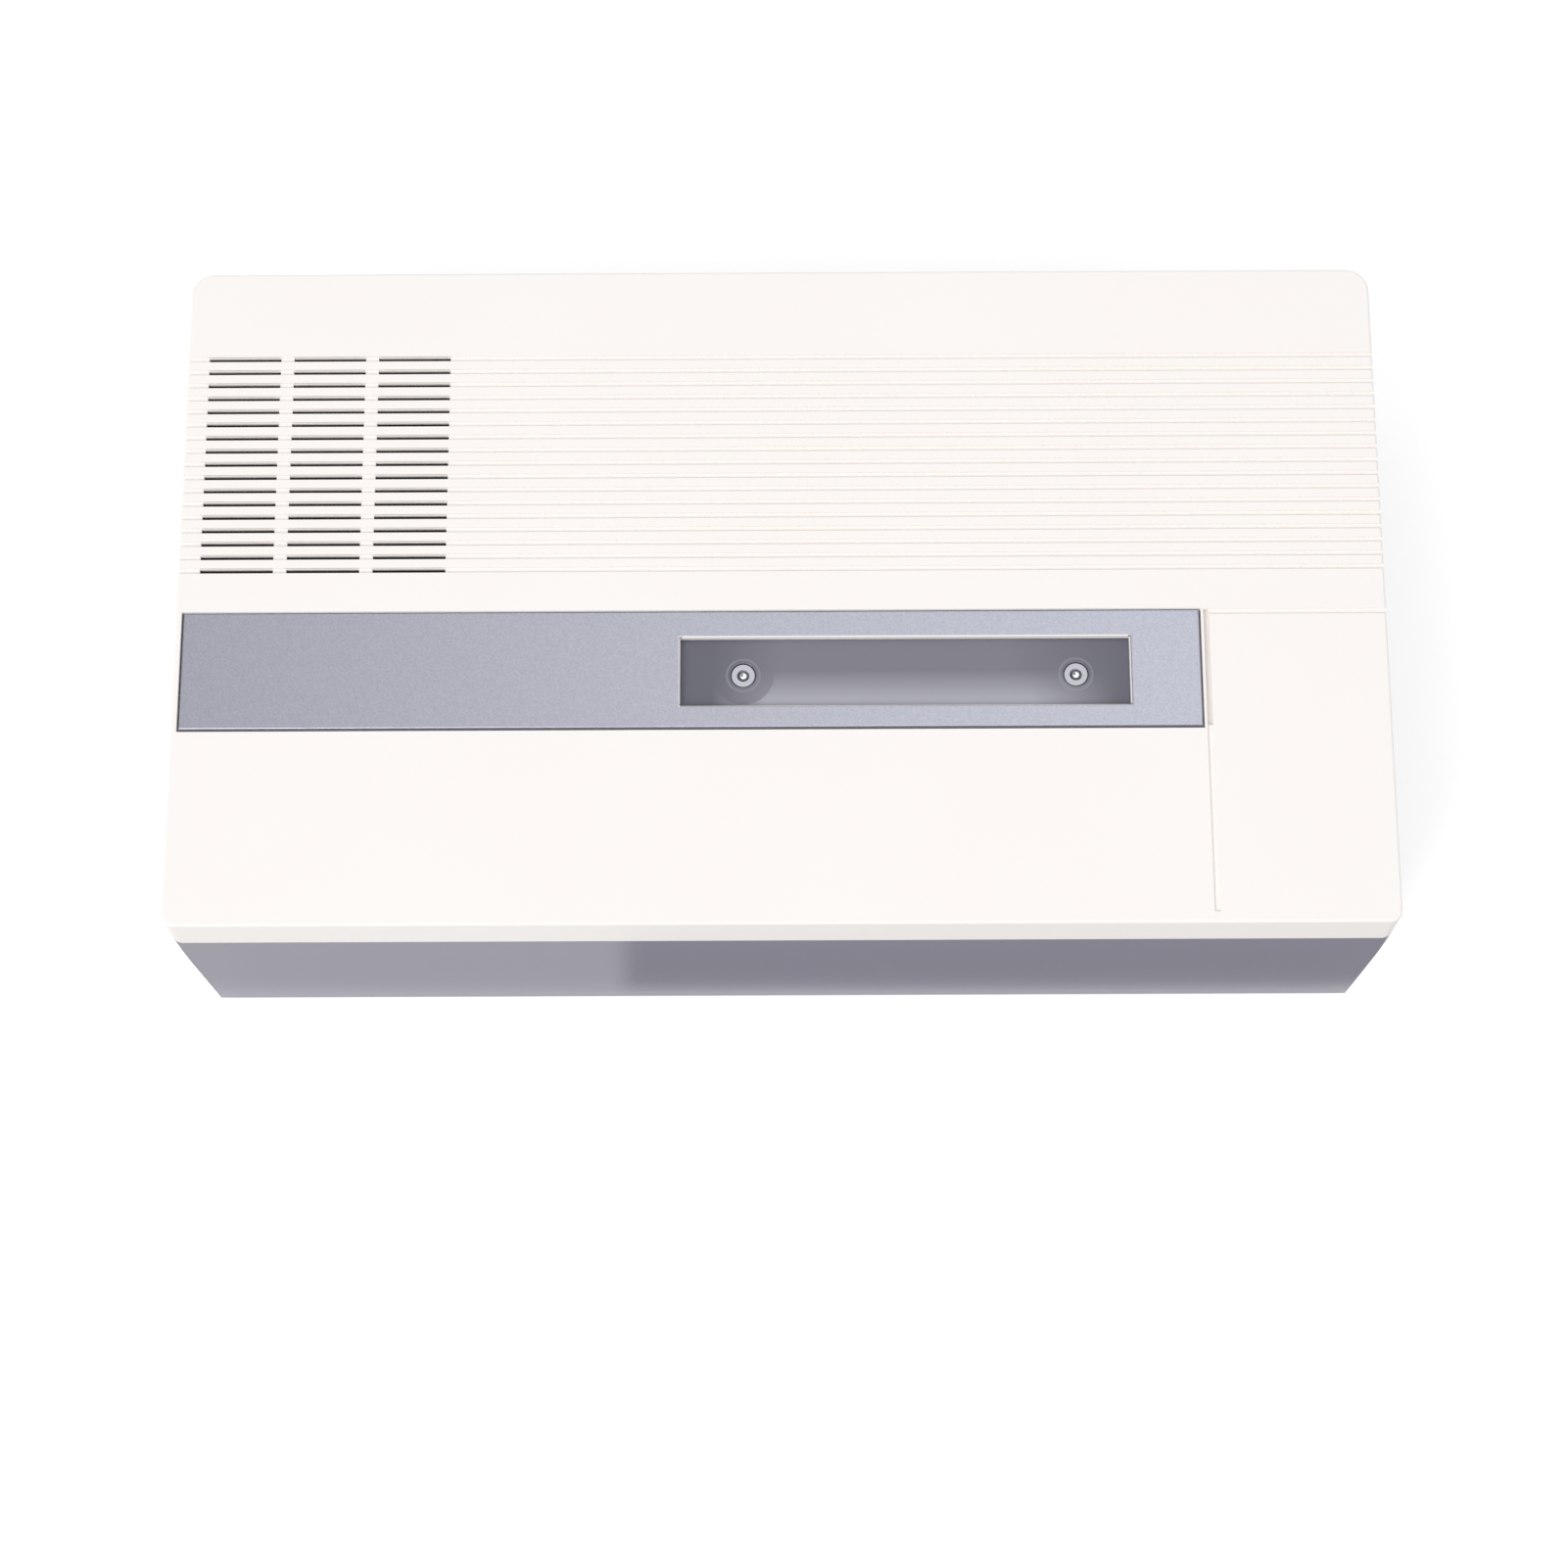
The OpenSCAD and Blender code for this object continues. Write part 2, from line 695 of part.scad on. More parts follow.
// Deck plate with the cassette's rests and locating pins and the speaker's tower
module deck_plate() {
    color("#4a4a50") difference() {
        union() {
            translate([0, 0, deck_z])
                rounded_slab(-in_x + slide, in_x - slide, in_front + slide, in_back - slide, deck_t, in_r);
            translate([grille_x, grille_y, deck_z]) cylinder(d = speaker_d, h = tower_z - deck_z);
            for (side = [-1, 1]) {
                x = cass_x + side * rest_off;
                block([x - rest_l / 2, rest_front, deck_top - eps],
                      [x + rest_l / 2, rest_front + rest_w, cass_z]);
                block([x - rest_l / 2, rest_back, deck_top - eps],
                      [x + rest_l / 2, rest_back + rest_w, thick_z]);
                translate([x, tape_y - locator_in, deck_top - eps])
                    cylinder(r = locator_r, h = cass_mid - deck_top);
            }
        }
        translate([grille_x, grille_y, deck_z - over])
            cylinder(d = speaker_d - 2 * tower_wall, h = tower_z - deck_z + 2 * over);
        translate([0, 0, deck_z - over]) {
            at_posts() cylinder(r = screw_r + slide, h = deck_t + 2 * over);
            at_reels() cylinder(r = bush_r + press, h = deck_t + 2 * over);
            translate([cap_x, cap_y, 0]) cylinder(r = bearing_r + press, h = deck_t + 2 * over);
            at_motor_screws() cylinder(r = screw_r + slide, h = deck_t + 2 * over);
            at_bracket_screws() cylinder(r = screw_r + press, h = deck_t + 2 * over);
            for (x = stud_x)
                translate([x, stud_y, 0]) cylinder(r = stud_r + press, h = deck_t + 2 * over);
        }
        block([key_xs[0] - tab_w / 2 - room, collar_y - key_travel - room, deck_z - over],
              [key_xs[0] + tab_w / 2 + room, collar_y + collar_l + room, deck_top + over]);
    }
}

module deck_screws() {
    color("#8c8c90") at_posts() translate([0, 0, deck_top]) screw(deck_t + post_screw_l - over);
}

// Brass bushes of the two reel shafts
module reel_bushes() {
    color("#c9a45c") at_reels() translate([0, 0, deck_z - bush_down])
        tube(bush_r, reel_shaft_d / 2 + run, bush_down + deck_t);
}

module capstan_bearing() {
    color("#c9a45c") translate([cap_x, cap_y, deck_z - bearing_down])
        tube(bearing_r, capstan_d / 2 + run, bearing_down + deck_t);
}

// Screws driven up into the deck through the feet of the two brackets
module at_bracket_screws() {
    for (side = [-1, 1])
        translate([cap_x + side * (bracket_span + bracket_foot / 2), cap_y, 0]) children();
    for (x = guide_tab_xs)
        translate([x, guide_y + guide_t + guide_tab_d / 2, 0]) children();
}

module bracket_screws() {
    color("#8c8c90") at_bracket_screws() translate([0, 0, deck_z - bracket_t]) mirror([0, 0, 1])
        screw(bracket_t + deck_t - screw_short);
}

// Steel stirrup under the flywheel that carries the capstan's lower end
module thrust_bracket() {
    low = bracket_top - bracket_t;
    color("#b4b6ba") difference() {
        union() {
            block([cap_x - bracket_span, cap_y - bracket_w / 2, low],
                  [cap_x + bracket_span, cap_y + bracket_w / 2, bracket_top]);
            for (side = [-1, 1]) {
                leg = cap_x + side * (bracket_span - bracket_t / 2);
                foot = cap_x + side * (bracket_span + bracket_foot / 2);
                block([leg - bracket_t / 2, cap_y - bracket_w / 2, low],
                      [leg + bracket_t / 2, cap_y + bracket_w / 2, deck_z]);
                block([foot - bracket_foot / 2 - eps, cap_y - bracket_w / 2, deck_z - bracket_t],
                      [foot + bracket_foot / 2, cap_y + bracket_w / 2, deck_z]);
            }
        }
        at_bracket_screws() translate([0, 0, deck_z - bracket_t - over])
            cylinder(r = screw_r + slide, h = bracket_t + 2 * over);
    }
}

module thrust_pad() {
    color("#e8e4d8") translate([cap_x, cap_y, bracket_top]) cylinder(r = pad_r, h = pad_t);
}

module at_motor_screws() {
    for (side = [-1, 1])
        translate([motor_x, motor_y + side * motor_screw_off, 0]) children();
}

module motor() {
    color("#b4b6ba") difference() {
        union() {
            translate([motor_x, motor_y, deck_z - motor_h]) cylinder(d = motor_d, h = motor_h);
            translate([motor_x, motor_y, deck_z - motor_h - motor_boss_h])
                cylinder(r = motor_boss_r, h = motor_boss_h + eps);
        }
        translate([motor_x, motor_y, deck_z - motor_h - motor_boss_h - over])
            cylinder(r = motor_shaft_r + run, h = motor_boss_h + motor_shaft_in + 2 * over);
        at_motor_screws() translate([0, 0, deck_z - motor_thread])
            cylinder(r = screw_r + press, h = motor_thread + over);
    }
}

module motor_screws() {
    color("#8c8c90") at_motor_screws() translate([0, 0, deck_top]) screw(deck_t + motor_thread - screw_short);
}

module motor_shaft() {
    low = drive_z - pulley_h / 2 - shaft_past;
    color("#c8cacc") translate([motor_x, motor_y, low])
        cylinder(r = motor_shaft_r, h = deck_z - motor_h + motor_shaft_in - low);
}

// A belt pulley round z, its groove centred on z = 0, on a shaft of radius bore
module pulley(r, bore) {
    difference() {
        translate([0, 0, -pulley_h / 2]) cylinder(r = r, h = pulley_h);
        translate([0, 0, -belt_h / 2 - belt_fit]) tube(r + over, r - belt_lip, belt_h + 2 * belt_fit);
        translate([0, 0, -pulley_h / 2 - over]) cylinder(r = bore, h = pulley_h + 2 * over);
    }
}

module motor_pulley() {
    color("#c9a45c") translate([motor_x, motor_y, drive_z]) pulley(motor_pulley_d / 2, motor_shaft_r + press);
}

// Outline of a belt round two circles: an arc on each, joined by their tangents
function belt_outline(c1, r1, c2, r2) =
    let (span = c2 - c1, dir = atan2(span[1], span[0]), a = acos((r1 - r2) / norm(span)))
    concat(belt_arc(c1, r1, dir + a, dir - a + 360), belt_arc(c2, r2, dir - a, dir + a));

function belt_arc(c, r, from, to) =
    [for (i = [0 : belt_steps]) let (a = from + (to - from) * i / belt_steps) c + r * [cos(a), sin(a)]];

module belt(c1, d1, c2, d2) {
    r1 = d1 / 2 - belt_lip + belt_fit;
    r2 = d2 / 2 - belt_lip + belt_fit;
    translate([0, 0, -belt_h / 2]) linear_extrude(belt_h) difference() {
        polygon(belt_outline(c1, r1 + belt_t, c2, r2 + belt_t));
        polygon(belt_outline(c1, r1, c2, r2));
    }
}

module drive_belt() {
    color("#1c1c1e") translate([0, 0, drive_z])
        belt([cap_x, cap_y], flywheel_d, [motor_x, motor_y], motor_pulley_d);
}

module takeup_belt() {
    color("#1c1c1e") translate([0, 0, takeup_z]) belt([cap_x, cap_y], hub_d, [takeup_x, reel_y], takeup_d);
}

// Flywheel with the small take-up pulley on its hub
module flywheel() {
    color("#a8aaae") translate([cap_x, cap_y, 0]) difference() {
        union() {
            translate([0, 0, wheel_z]) cylinder(d = flywheel_d, h = wheel_h);
            translate([0, 0, wheel_z]) cylinder(r = hub_d / 2, h = takeup_z + pulley_h / 2 - wheel_z);
        }
        for (groove = [[flywheel_d / 2, drive_z], [hub_d / 2, takeup_z]])
            translate([0, 0, groove[1] - belt_h / 2 - belt_fit])
                tube(groove[0] + over, groove[0] - belt_lip, belt_h + 2 * belt_fit);
        translate([0, 0, wheel_z - over]) cylinder(d = capstan_d + 2 * press, h = deck_z - wheel_z);
    }
}

module capstan() {
    low = bracket_top + pad_t + run;
    color("#d6d8da") translate([cap_x, cap_y, low]) cylinder(d = capstan_d, h = capstan_top - low);
}

// Reel shaft with a domed, polished upper end level with the window pane
module reel_shaft(x, low) {
    r = reel_shaft_d / 2;
    color("#d6d8da") translate([x, reel_y, 0]) {
        translate([0, 0, low]) cylinder(r = r, h = strip_z - r - low);
        translate([0, 0, strip_z - r]) sphere(r = r);
    }
}

// Sleeve that turns the cassette's hub: a table, a core with six fins and a slim upper end
module reel_sleeve(x) {
    r = reel_shaft_d / 2;
    table_z = deck_top + table_gap;
    core_z = pane_z - room;
    color("#c4c5cb") translate([x, reel_y, 0]) difference() {
        union() {
            translate([0, 0, table_z]) cylinder(d = reel_table_d, h = table_t);
            translate([0, 0, table_z]) cylinder(r = sleeve_core_r, h = core_z - table_z);
            translate([0, 0, table_z]) cylinder(d = sleeve_tip_d, h = strip_z - table_z);
            for (i = [0 : fins - 1])
                rotate(i * 360 / fins)
                    block([r + fin_t, -fin_t / 2, table_z], [fin_r, fin_t / 2, core_z - fin_down]);
        }
        translate([0, 0, table_z - over]) cylinder(r = r + press, h = strip_z - table_z + 2 * over);
        translate([0, 0, strip_z - tip_recess]) cylinder(r = r + tip_ring, h = tip_recess + over);
    }
}

module takeup_shaft() {
    reel_shaft(takeup_x, takeup_z - pulley_h / 2 - shaft_past);
}

module takeup_sleeve() {
    reel_sleeve(takeup_x);
}

module takeup_pulley() {
    color("#e8e4d8") translate([takeup_x, reel_y, takeup_z]) pulley(takeup_d / 2, reel_shaft_d / 2 + press);
}

module supply_shaft() {
    reel_shaft(supply_x, deck_z - bush_down - clip_gap - clip_t - shaft_past);
}

module supply_sleeve() {
    reel_sleeve(supply_x);
}

module supply_clip() {
    color("#8c8c90") translate([supply_x, reel_y, deck_z - bush_down - clip_gap - clip_t])
        tube(clip_r, reel_shaft_d / 2 + press, clip_t);
}

// Steel plate that slides forward in play, guided by two studs in its slots
module head_carriage() {
    color("#b4b6ba") difference() {
        block([carriage_x0, carriage_front, carriage_z], [carriage_x1, carriage_back, carriage_top]);
        for (x = stud_x) {
            block([x - stud_r - run, stud_y, carriage_z - over],
                  [x + stud_r + run, stud_y + key_travel, carriage_top + over]);
            for (y = [stud_y, stud_y + key_travel])
                translate([x, y, carriage_z - over]) cylinder(r = stud_r + run, h = carriage_t + 2 * over);
        }
        at_head_screws() translate([0, 0, carriage_z - over])
            cylinder(r = screw_r + press, h = carriage_t + 2 * over);
        translate([pivot_x, pivot_y, carriage_z - over])
            cylinder(r = pivot_r + press, h = carriage_t + 2 * over);
    }
}

module carriage_studs() {
    color("#8c8c90") for (x = stud_x) {
        translate([x, stud_y, deck_z]) cylinder(r = stud_r, h = carriage_top + stud_gap - deck_z + eps);
        translate([x, stud_y, carriage_top + stud_gap]) cylinder(r = stud_head_r, h = stud_head_h);
    }
}

module at_head_screws() {
    for (side = [-1, 1])
        translate([cass_x + side * (head_w / 2 + head_ear / 2), carriage_front + head_ear / 2, 0]) children();
}

// Tape head: a shielded block with a curved face on a base with two ears
module play_head() {
    front = tape_y + head_gap;
    color("#d6d8da") difference() {
        union() {
            block([cass_x - head_w / 2 - head_ear, carriage_front, carriage_top],
                  [cass_x + head_w / 2 + head_ear, carriage_front + head_ear, carriage_top + head_base_t]);
            intersection() {
                block([cass_x - head_w / 2, front, carriage_top],
                      [cass_x + head_w / 2, front + head_d, cass_mid + head_h / 2]);
                translate([cass_x, front + head_face_r, carriage_top - over])
                    cylinder(r = head_face_r, h = head_h + 4 * over);
            }
        }
        at_head_screws() translate([0, 0, carriage_top - over])
            cylinder(r = screw_r + press, h = head_base_t + 2 * over);
    }
}

module head_screws() {
    color("#8c8c90") at_head_screws() translate([0, 0, carriage_top + head_base_t])
        screw(head_base_t + carriage_t - screw_short);
}

module pinch_pivot() {
    color("#8c8c90") translate([pivot_x, pivot_y, carriage_z])
        cylinder(r = pivot_r, h = carriage_t + arm_h + 2 * slide);
}

// One flat blade of the pinch arm, from the pivot to the roller's axle
module arm_blade() {
    reach = [pinch_x - pivot_x, pinch_y - pivot_y];
    translate([pivot_x, pivot_y, 0]) {
        cylinder(d = arm_w, h = arm_t);
        rotate(atan2(reach[1], reach[0])) block([0, -arm_w / 2, 0], [norm(reach), arm_w / 2, arm_t]);
    }
    translate([pinch_x, pinch_y, 0]) cylinder(d = arm_w, h = arm_t);
}

module pinch_arm() {
    color("#b4b6ba") difference() {
        union() {
            translate([0, 0, arm_z]) arm_blade();
            translate([0, 0, arm_z + arm_h - arm_t]) arm_blade();
            translate([pivot_x, pivot_y, arm_z]) cylinder(d = arm_w, h = arm_h);
        }
        translate([pivot_x, pivot_y, arm_z - over]) cylinder(r = pivot_r + run, h = arm_h + 2 * over);
        translate([pinch_x, pinch_y, arm_z - over]) cylinder(r = axle_r + press, h = arm_h + 2 * over);
    }
}

module pinch_axle() {
    color("#d6d8da") translate([pinch_x, pinch_y, arm_z]) cylinder(r = axle_r, h = arm_h);
}

module pinch_roller() {
    color("#242426") translate([pinch_x, pinch_y, arm_z + arm_t + slide])
        tube(pinch_d / 2, axle_r + run, arm_h - 2 * arm_t - 2 * slide);
}

// A key: its cap through the back wall, a flange that keeps it in, a stem and a spring collar
module key(x) {
    flange_y = in_back - key_flange_gap;
    block([x - key_w / 2, flange_y - key_flange_t, key_z - key_h / 2],
          [x + key_w / 2, tub_back + key_out, key_z + key_h / 2]);
    block([x - key_flange_w / 2, flange_y - key_flange_t, key_z - key_flange_h / 2],
          [x + key_flange_w / 2, flange_y, key_z + key_flange_h / 2]);
    bar_y(x, guide_y - stem_past, flange_y - key_flange_t + eps, key_z, stem_d / 2);
    bar_y(x, collar_y, collar_y + collar_l, key_z, collar_r);
}

// The play key also has a tab through the deck that pushes the head carriage
module play_key() {
    x = key_xs[0];
    color("#5a5a60") {
        key(x);
        block([x - tab_w / 2, collar_y, key_z], [x + tab_w / 2, collar_y + collar_l, deck_top + tab_up]);
    }
}

module forward_key() {
    color("#5a5a60") key(key_xs[1]);
}

module stop_key() {
    color("#5a5a60") key(key_xs[2]);
}

// Coil springs round the key stems: a round wire swept along a helix
function coil_point(i) =
    let (a = i * 360 / rings)
    [coil_r * cos(a), coil_l * i / (rings * spring_turns), coil_r * sin(a)];

function coil_ring(i) =
    let (a = i * 360 / rings, out = [cos(a), 0, sin(a)])
    [for (s = [0 : sides - 1])
        coil_point(i) + spring_wire / 2 * (cos(s * 360 / sides) * out + sin(s * 360 / sides) * [0, 1, 0])];

module coil_spring() {
    last = rings * spring_turns;
    points = [for (i = [0 : last], p = coil_ring(i)) p];
    skin = [for (i = [0 : last - 1], s = [0 : sides - 1])
        let (t = (s + 1) % sides, a = i * sides + s, b = i * sides + t)
        each [[a, a + sides, b], [b, a + sides, b + sides]]];
    first_cap = [for (s = [1 : sides - 2]) [0, s, s + 1]];
    last_cap = [for (s = [1 : sides - 2]) [last * sides, last * sides + s + 1, last * sides + s]];
    polyhedron(points, concat(skin, first_cap, last_cap));
    pitches = [for (i = [0 : last - rings]) norm(coil_point(i + rings) - coil_point(i))];
    echo(least_gap_between_turns = min(pitches) - spring_wire);
}

module key_spring(x) {
    color("#c8cacc") translate([x, coil_y0 + spring_wire / 2, key_z]) coil_spring();
}

module play_spring() {
    key_spring(key_xs[0]);
}

module forward_spring() {
    key_spring(key_xs[1]);
}

module stop_spring() {
    key_spring(key_xs[2]);
}

// Steel bracket under the deck that guides the stems and backs their springs
module key_bracket() {
    color("#b4b6ba") difference() {
        union() {
            block([guide_x0, guide_y, deck_z - guide_drop], [guide_x1, guide_y + guide_t, deck_z]);
            for (x = guide_tab_xs)
                block([x - guide_tab_w / 2, guide_y, deck_z - bracket_t],
                      [x + guide_tab_w / 2, guide_y + guide_t + guide_tab_d, deck_z]);
        }
        for (x = key_xs)
            bar_y(x, guide_y - over, guide_y + guide_t + over, key_z, stem_d / 2 + run);
        at_bracket_screws() translate([0, 0, deck_z - bracket_t - over])
            cylinder(r = screw_r + slide, h = bracket_t + 2 * over);
    }
}

// Leaf switch of the motor under the deck, between the stems
module motor_switch() {
    color("#303034") translate([guide_tab_xs[1], switch_y, deck_z - switch_size[2]]) {
        translate([-switch_size[0] / 2, 0, 0]) cube(switch_size);
        for (side = [-1, 1])
            translate([side * contact_off - contact_size[0] / 2, switch_size[1] - eps, over])
                cube(contact_size);
    }
}

// Speaker basket: a flange on the tower and a cup that narrows to the magnet
module speaker_frame() {
    low = tower_z - basket_h;
    color("#303034") translate([grille_x, grille_y, 0]) rotate_extrude() polygon([
        [speaker_r, tower_z], [speaker_r, tower_z + speaker_flange_t],
        [basket_r - skin_t, tower_z + speaker_flange_t], [basket_r - skin_t, tower_z],
        [basket_foot_r - skin_t, low + skin_t], [0, low + skin_t], [0, low], [basket_foot_r, low],
        [basket_r, tower_z]
    ]);
}

module speaker_magnet() {
    color("#6c6c70") translate([grille_x, grille_y, tower_z - basket_h - magnet_h])
        cylinder(r = magnet_r, h = magnet_h);
}

// Paper cone with a dust cap, resting on the basket's flange
module speaker_cone() {
    rim = tower_z + speaker_flange_t;
    low = rim - cone_depth;
    mouth_r = basket_r - skin_t - cone_lap;
    color("#202022") translate([grille_x, grille_y, 0]) rotate_extrude() polygon([
        [basket_r + cone_lap, rim], [basket_r + cone_lap, rim + cone_t], [mouth_r, rim + cone_t],
        [cap_r, low], [0, low + cap_up], [0, low + cap_up - cone_t], [cap_r, low - cone_lap],
        [mouth_r, rim - cone_t], [mouth_r + cone_t, rim]
    ]);
}

module speaker_gasket() {
    color("#2a2a2c") translate([grille_x, grille_y, tower_z + speaker_flange_t])
        tube(speaker_r, basket_r + cone_lap + press, gasket_t);
}

module main_board() {
    color("#2f6b45") difference() {
        block([board_x0, board_y0, board_z], [board_x1, board_y1, board_top]);
        at_board_screws() translate([0, 0, board_z - over])
            cylinder(r = screw_r + slide, h = board_t + 2 * over);
    }
}

// Amplifier and charging chips and the filter capacitors
module board_parts() {
    color("#26262a") {
        for (y = chip_ys)
            translate([chip_x, y, board_top]) cube(chip_size);
        for (i = [0 : 2])
            translate([can_x + i * can_pitch, can_y, board_top]) cylinder(r = can_r, h = can_h);
    }
}

module board_screws() {
    color("#8c8c90") at_board_screws() translate([0, 0, board_top]) screw(board_t + standoff_h - screw_short);
}

module headphone_jack() {
    y = y_front + jack_y;
    color("#26262a") difference() {
        union() {
            block([-in_x, y - jack_w / 2, board_top],
                  [-jack_face + jack_depth + jack_end, y + jack_w / 2, board_top + jack_h]);
            bar_x(-jack_face, -in_x + eps, y, jack_z, jack_barrel_r);
        }
        bar_x(-tub_x - over, -jack_face + jack_depth, y, jack_z, jack_bore_d / 2);
    }
}

// Metal shell of the charging socket with its contact tongue
module charging_socket() {
    y = y_front + usb_y;
    x0 = -side_x(board_top) + usb_in;
    color("#c8cacc") {
        difference() {
            block([x0, y - usb_w / 2, board_top], [x0 + usb_l, y + usb_w / 2, board_top + usb_h]);
            block([x0 - over, y - usb_w / 2 + usb_skin, board_top + usb_skin],
                  [x0 + usb_depth, y + usb_w / 2 - usb_skin, board_top + usb_h - usb_skin]);
        }
        block([x0 + tongue_in, y - usb_w / 2 + tongue_in, board_top + usb_h / 2 - tongue_t / 2],
              [x0 + usb_depth + eps, y + usb_w / 2 - tongue_in, board_top + usb_h / 2 + tongue_t / 2]);
    }
}

module volume_pot() {
    color("#303034") {
        block([volume_x - pot_w / 2, volume_y - pot_w / 2, board_top],
              [volume_x + pot_w / 2, volume_y + pot_w / 2, volume_z - pot_gap]);
        translate([volume_x, volume_y, board_top]) cylinder(r = pot_shaft_r, h = pot_h + volume_h);
    }
}

// Thumb wheel with a notched rim on the potentiometer's shaft
module volume_wheel() {
    color("#5a5a60") translate([volume_x, volume_y, volume_z]) difference() {
        cylinder(d = volume_d, h = volume_h);
        translate([0, 0, -over]) cylinder(r = pot_shaft_r + run, h = volume_h + 2 * over);
        for (i = [0 : notches - 1])
            rotate(i * 360 / notches) translate([volume_d / 2 + notch_out, 0, -over])
                cylinder(r = notch_r, h = volume_h + 2 * over);
    }
}

module battery_pack() {
    color("#3f6fa8")
        translate([0, 0, floor_z])
            rounded_slab(battery_x - battery_w / 2, battery_x + battery_w / 2,
                         battery_y, battery_y + battery_d, battery_t, battery_r);
}

tub();
feet();
lid();
accent_strip();
window_pane();
grille_cloth();
cassette_springs();
hinge_pins();
deck_plate();
deck_screws();
reel_bushes();
capstan_bearing();
thrust_bracket();
thrust_pad();
bracket_screws();
motor();
motor_screws();
motor_shaft();
motor_pulley();
drive_belt();
flywheel();
capstan();
takeup_belt();
takeup_shaft();
takeup_sleeve();
takeup_pulley();
supply_shaft();
supply_sleeve();
supply_clip();
head_carriage();
carriage_studs();
play_head();
head_screws();
pinch_pivot();
pinch_arm();
pinch_axle();
pinch_roller();
play_key();
forward_key();
stop_key();
play_spring();
forward_spring();
stop_spring();
key_bracket();
motor_switch();
speaker_frame();
speaker_magnet();
speaker_cone();
speaker_gasket();
main_board();
board_parts();
board_screws();
headphone_jack();
charging_socket();
volume_pot();
volume_wheel();
battery_pack();
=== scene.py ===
# Portable cassette player: a white lid with a ribbed top and a window strip over a grey tub.
# The pieces follow the order in which the player is put together, from the feet to the lid.
import json
from math import cos, pi, radians, sin

import bmesh
import bpy
from mathutils import Matrix, Vector


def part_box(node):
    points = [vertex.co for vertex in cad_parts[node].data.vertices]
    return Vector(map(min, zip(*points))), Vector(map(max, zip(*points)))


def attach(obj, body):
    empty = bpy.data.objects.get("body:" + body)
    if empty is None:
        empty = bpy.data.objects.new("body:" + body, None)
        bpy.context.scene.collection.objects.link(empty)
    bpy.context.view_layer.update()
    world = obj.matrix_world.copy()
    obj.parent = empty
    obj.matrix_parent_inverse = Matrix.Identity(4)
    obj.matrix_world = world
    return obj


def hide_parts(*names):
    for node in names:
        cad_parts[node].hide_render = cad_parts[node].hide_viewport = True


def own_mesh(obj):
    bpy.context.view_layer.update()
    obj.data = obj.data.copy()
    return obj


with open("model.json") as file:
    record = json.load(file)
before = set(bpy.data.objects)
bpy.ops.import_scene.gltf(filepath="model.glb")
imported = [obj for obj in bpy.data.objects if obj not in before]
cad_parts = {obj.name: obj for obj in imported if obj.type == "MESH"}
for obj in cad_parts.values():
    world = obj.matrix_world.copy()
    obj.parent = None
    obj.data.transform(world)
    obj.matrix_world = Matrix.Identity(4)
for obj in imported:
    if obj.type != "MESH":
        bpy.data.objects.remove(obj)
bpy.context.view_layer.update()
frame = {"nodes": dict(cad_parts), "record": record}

# Four feet, moulded in black nitrile rubber and pressed into round seats in the tub's floor.
# The rubber is dull and a little grainy, with the soft edge that a mould gives.
# Lengths are in millimetres where they are named, and angles in degrees
MM = 0.001
GLOSS_SPREAD = 0.05
PLASTIC_IOR = 1.52
WELD = 0.002
ONE_PLANE = 0.5
SMOOTH_BELOW = 32
ROUNDED_ABOVE = 35
ROUND_STEPS = 3


def linear(hex_colour):
    """The linear colour of an sRGB hex value."""
    parts = [int(hex_colour[i:i + 2], 16) / 255 for i in (1, 3, 5)]
    return [c / 12.92 if c <= 0.04045 else ((c + 0.055) / 1.055) ** 2.4 for c in parts] + [1]


def add(material, kind, inputs, **settings):
    """Adds a node with its settings; an input takes a value or another node's output."""
    node = material.node_tree.nodes.new("ShaderNode" + kind)
    for name, value in settings.items():
        setattr(node, name, value)
    for name, value in inputs.items():
        if isinstance(value, bpy.types.NodeSocket):
            material.node_tree.links.new(value, node.inputs[name])
        else:
            node.inputs[name].default_value = value
    return node


def blank(name):
    """A new material with its shader and the object's coordinates."""
    material = bpy.data.materials.new(name)
    material.use_nodes = True
    shader = material.node_tree.nodes["Principled BSDF"]
    place = add(material, "TexCoord", {}).outputs["Object"]
    return material, shader, place


def join(material, source, socket):
    """Links a node's output to a shader's input."""
    material.node_tree.links.new(source, socket)


def moulded(name, dark, light, roughness, grain, relief, drift=18):
    """A moulded plastic or rubber: a broad drift between two shades and the fine grain of the mould."""
    material, shader, place = blank(name)
    cloud = add(material, "TexNoise", {"Vector": place, "Scale": 1 / (drift * MM), "Detail": 2})
    shade = add(material, "MixRGB", {0: cloud.outputs["Fac"], 1: linear(dark), 2: linear(light)})
    join(material, shade.outputs[0], shader.inputs["Base Color"])
    pits = add(material, "TexNoise", {"Vector": place, "Scale": 1 / (grain * MM), "Detail": 3})
    gloss = add(material, "MapRange", {"Value": pits.outputs["Fac"], "To Min": roughness - GLOSS_SPREAD,
                                       "To Max": roughness + GLOSS_SPREAD})
    join(material, gloss.outputs[0], shader.inputs["Roughness"])
    bump = add(material, "Bump", {"Height": pits.outputs["Fac"], "Strength": 0.5, "Distance": relief * MM})
    join(material, bump.outputs[0], shader.inputs["Normal"])
    shader.inputs["IOR"].default_value = PLASTIC_IOR
    return material


body_of = {node: body for body, nodes in frame["record"]["behaviour"]["bodies"].items() for node in nodes}


def dress(material, *nodes):
    """Gives CAD pieces a finish."""
    for node in nodes:
        for place in frame["nodes"][node].material_slots:
            place.material = material


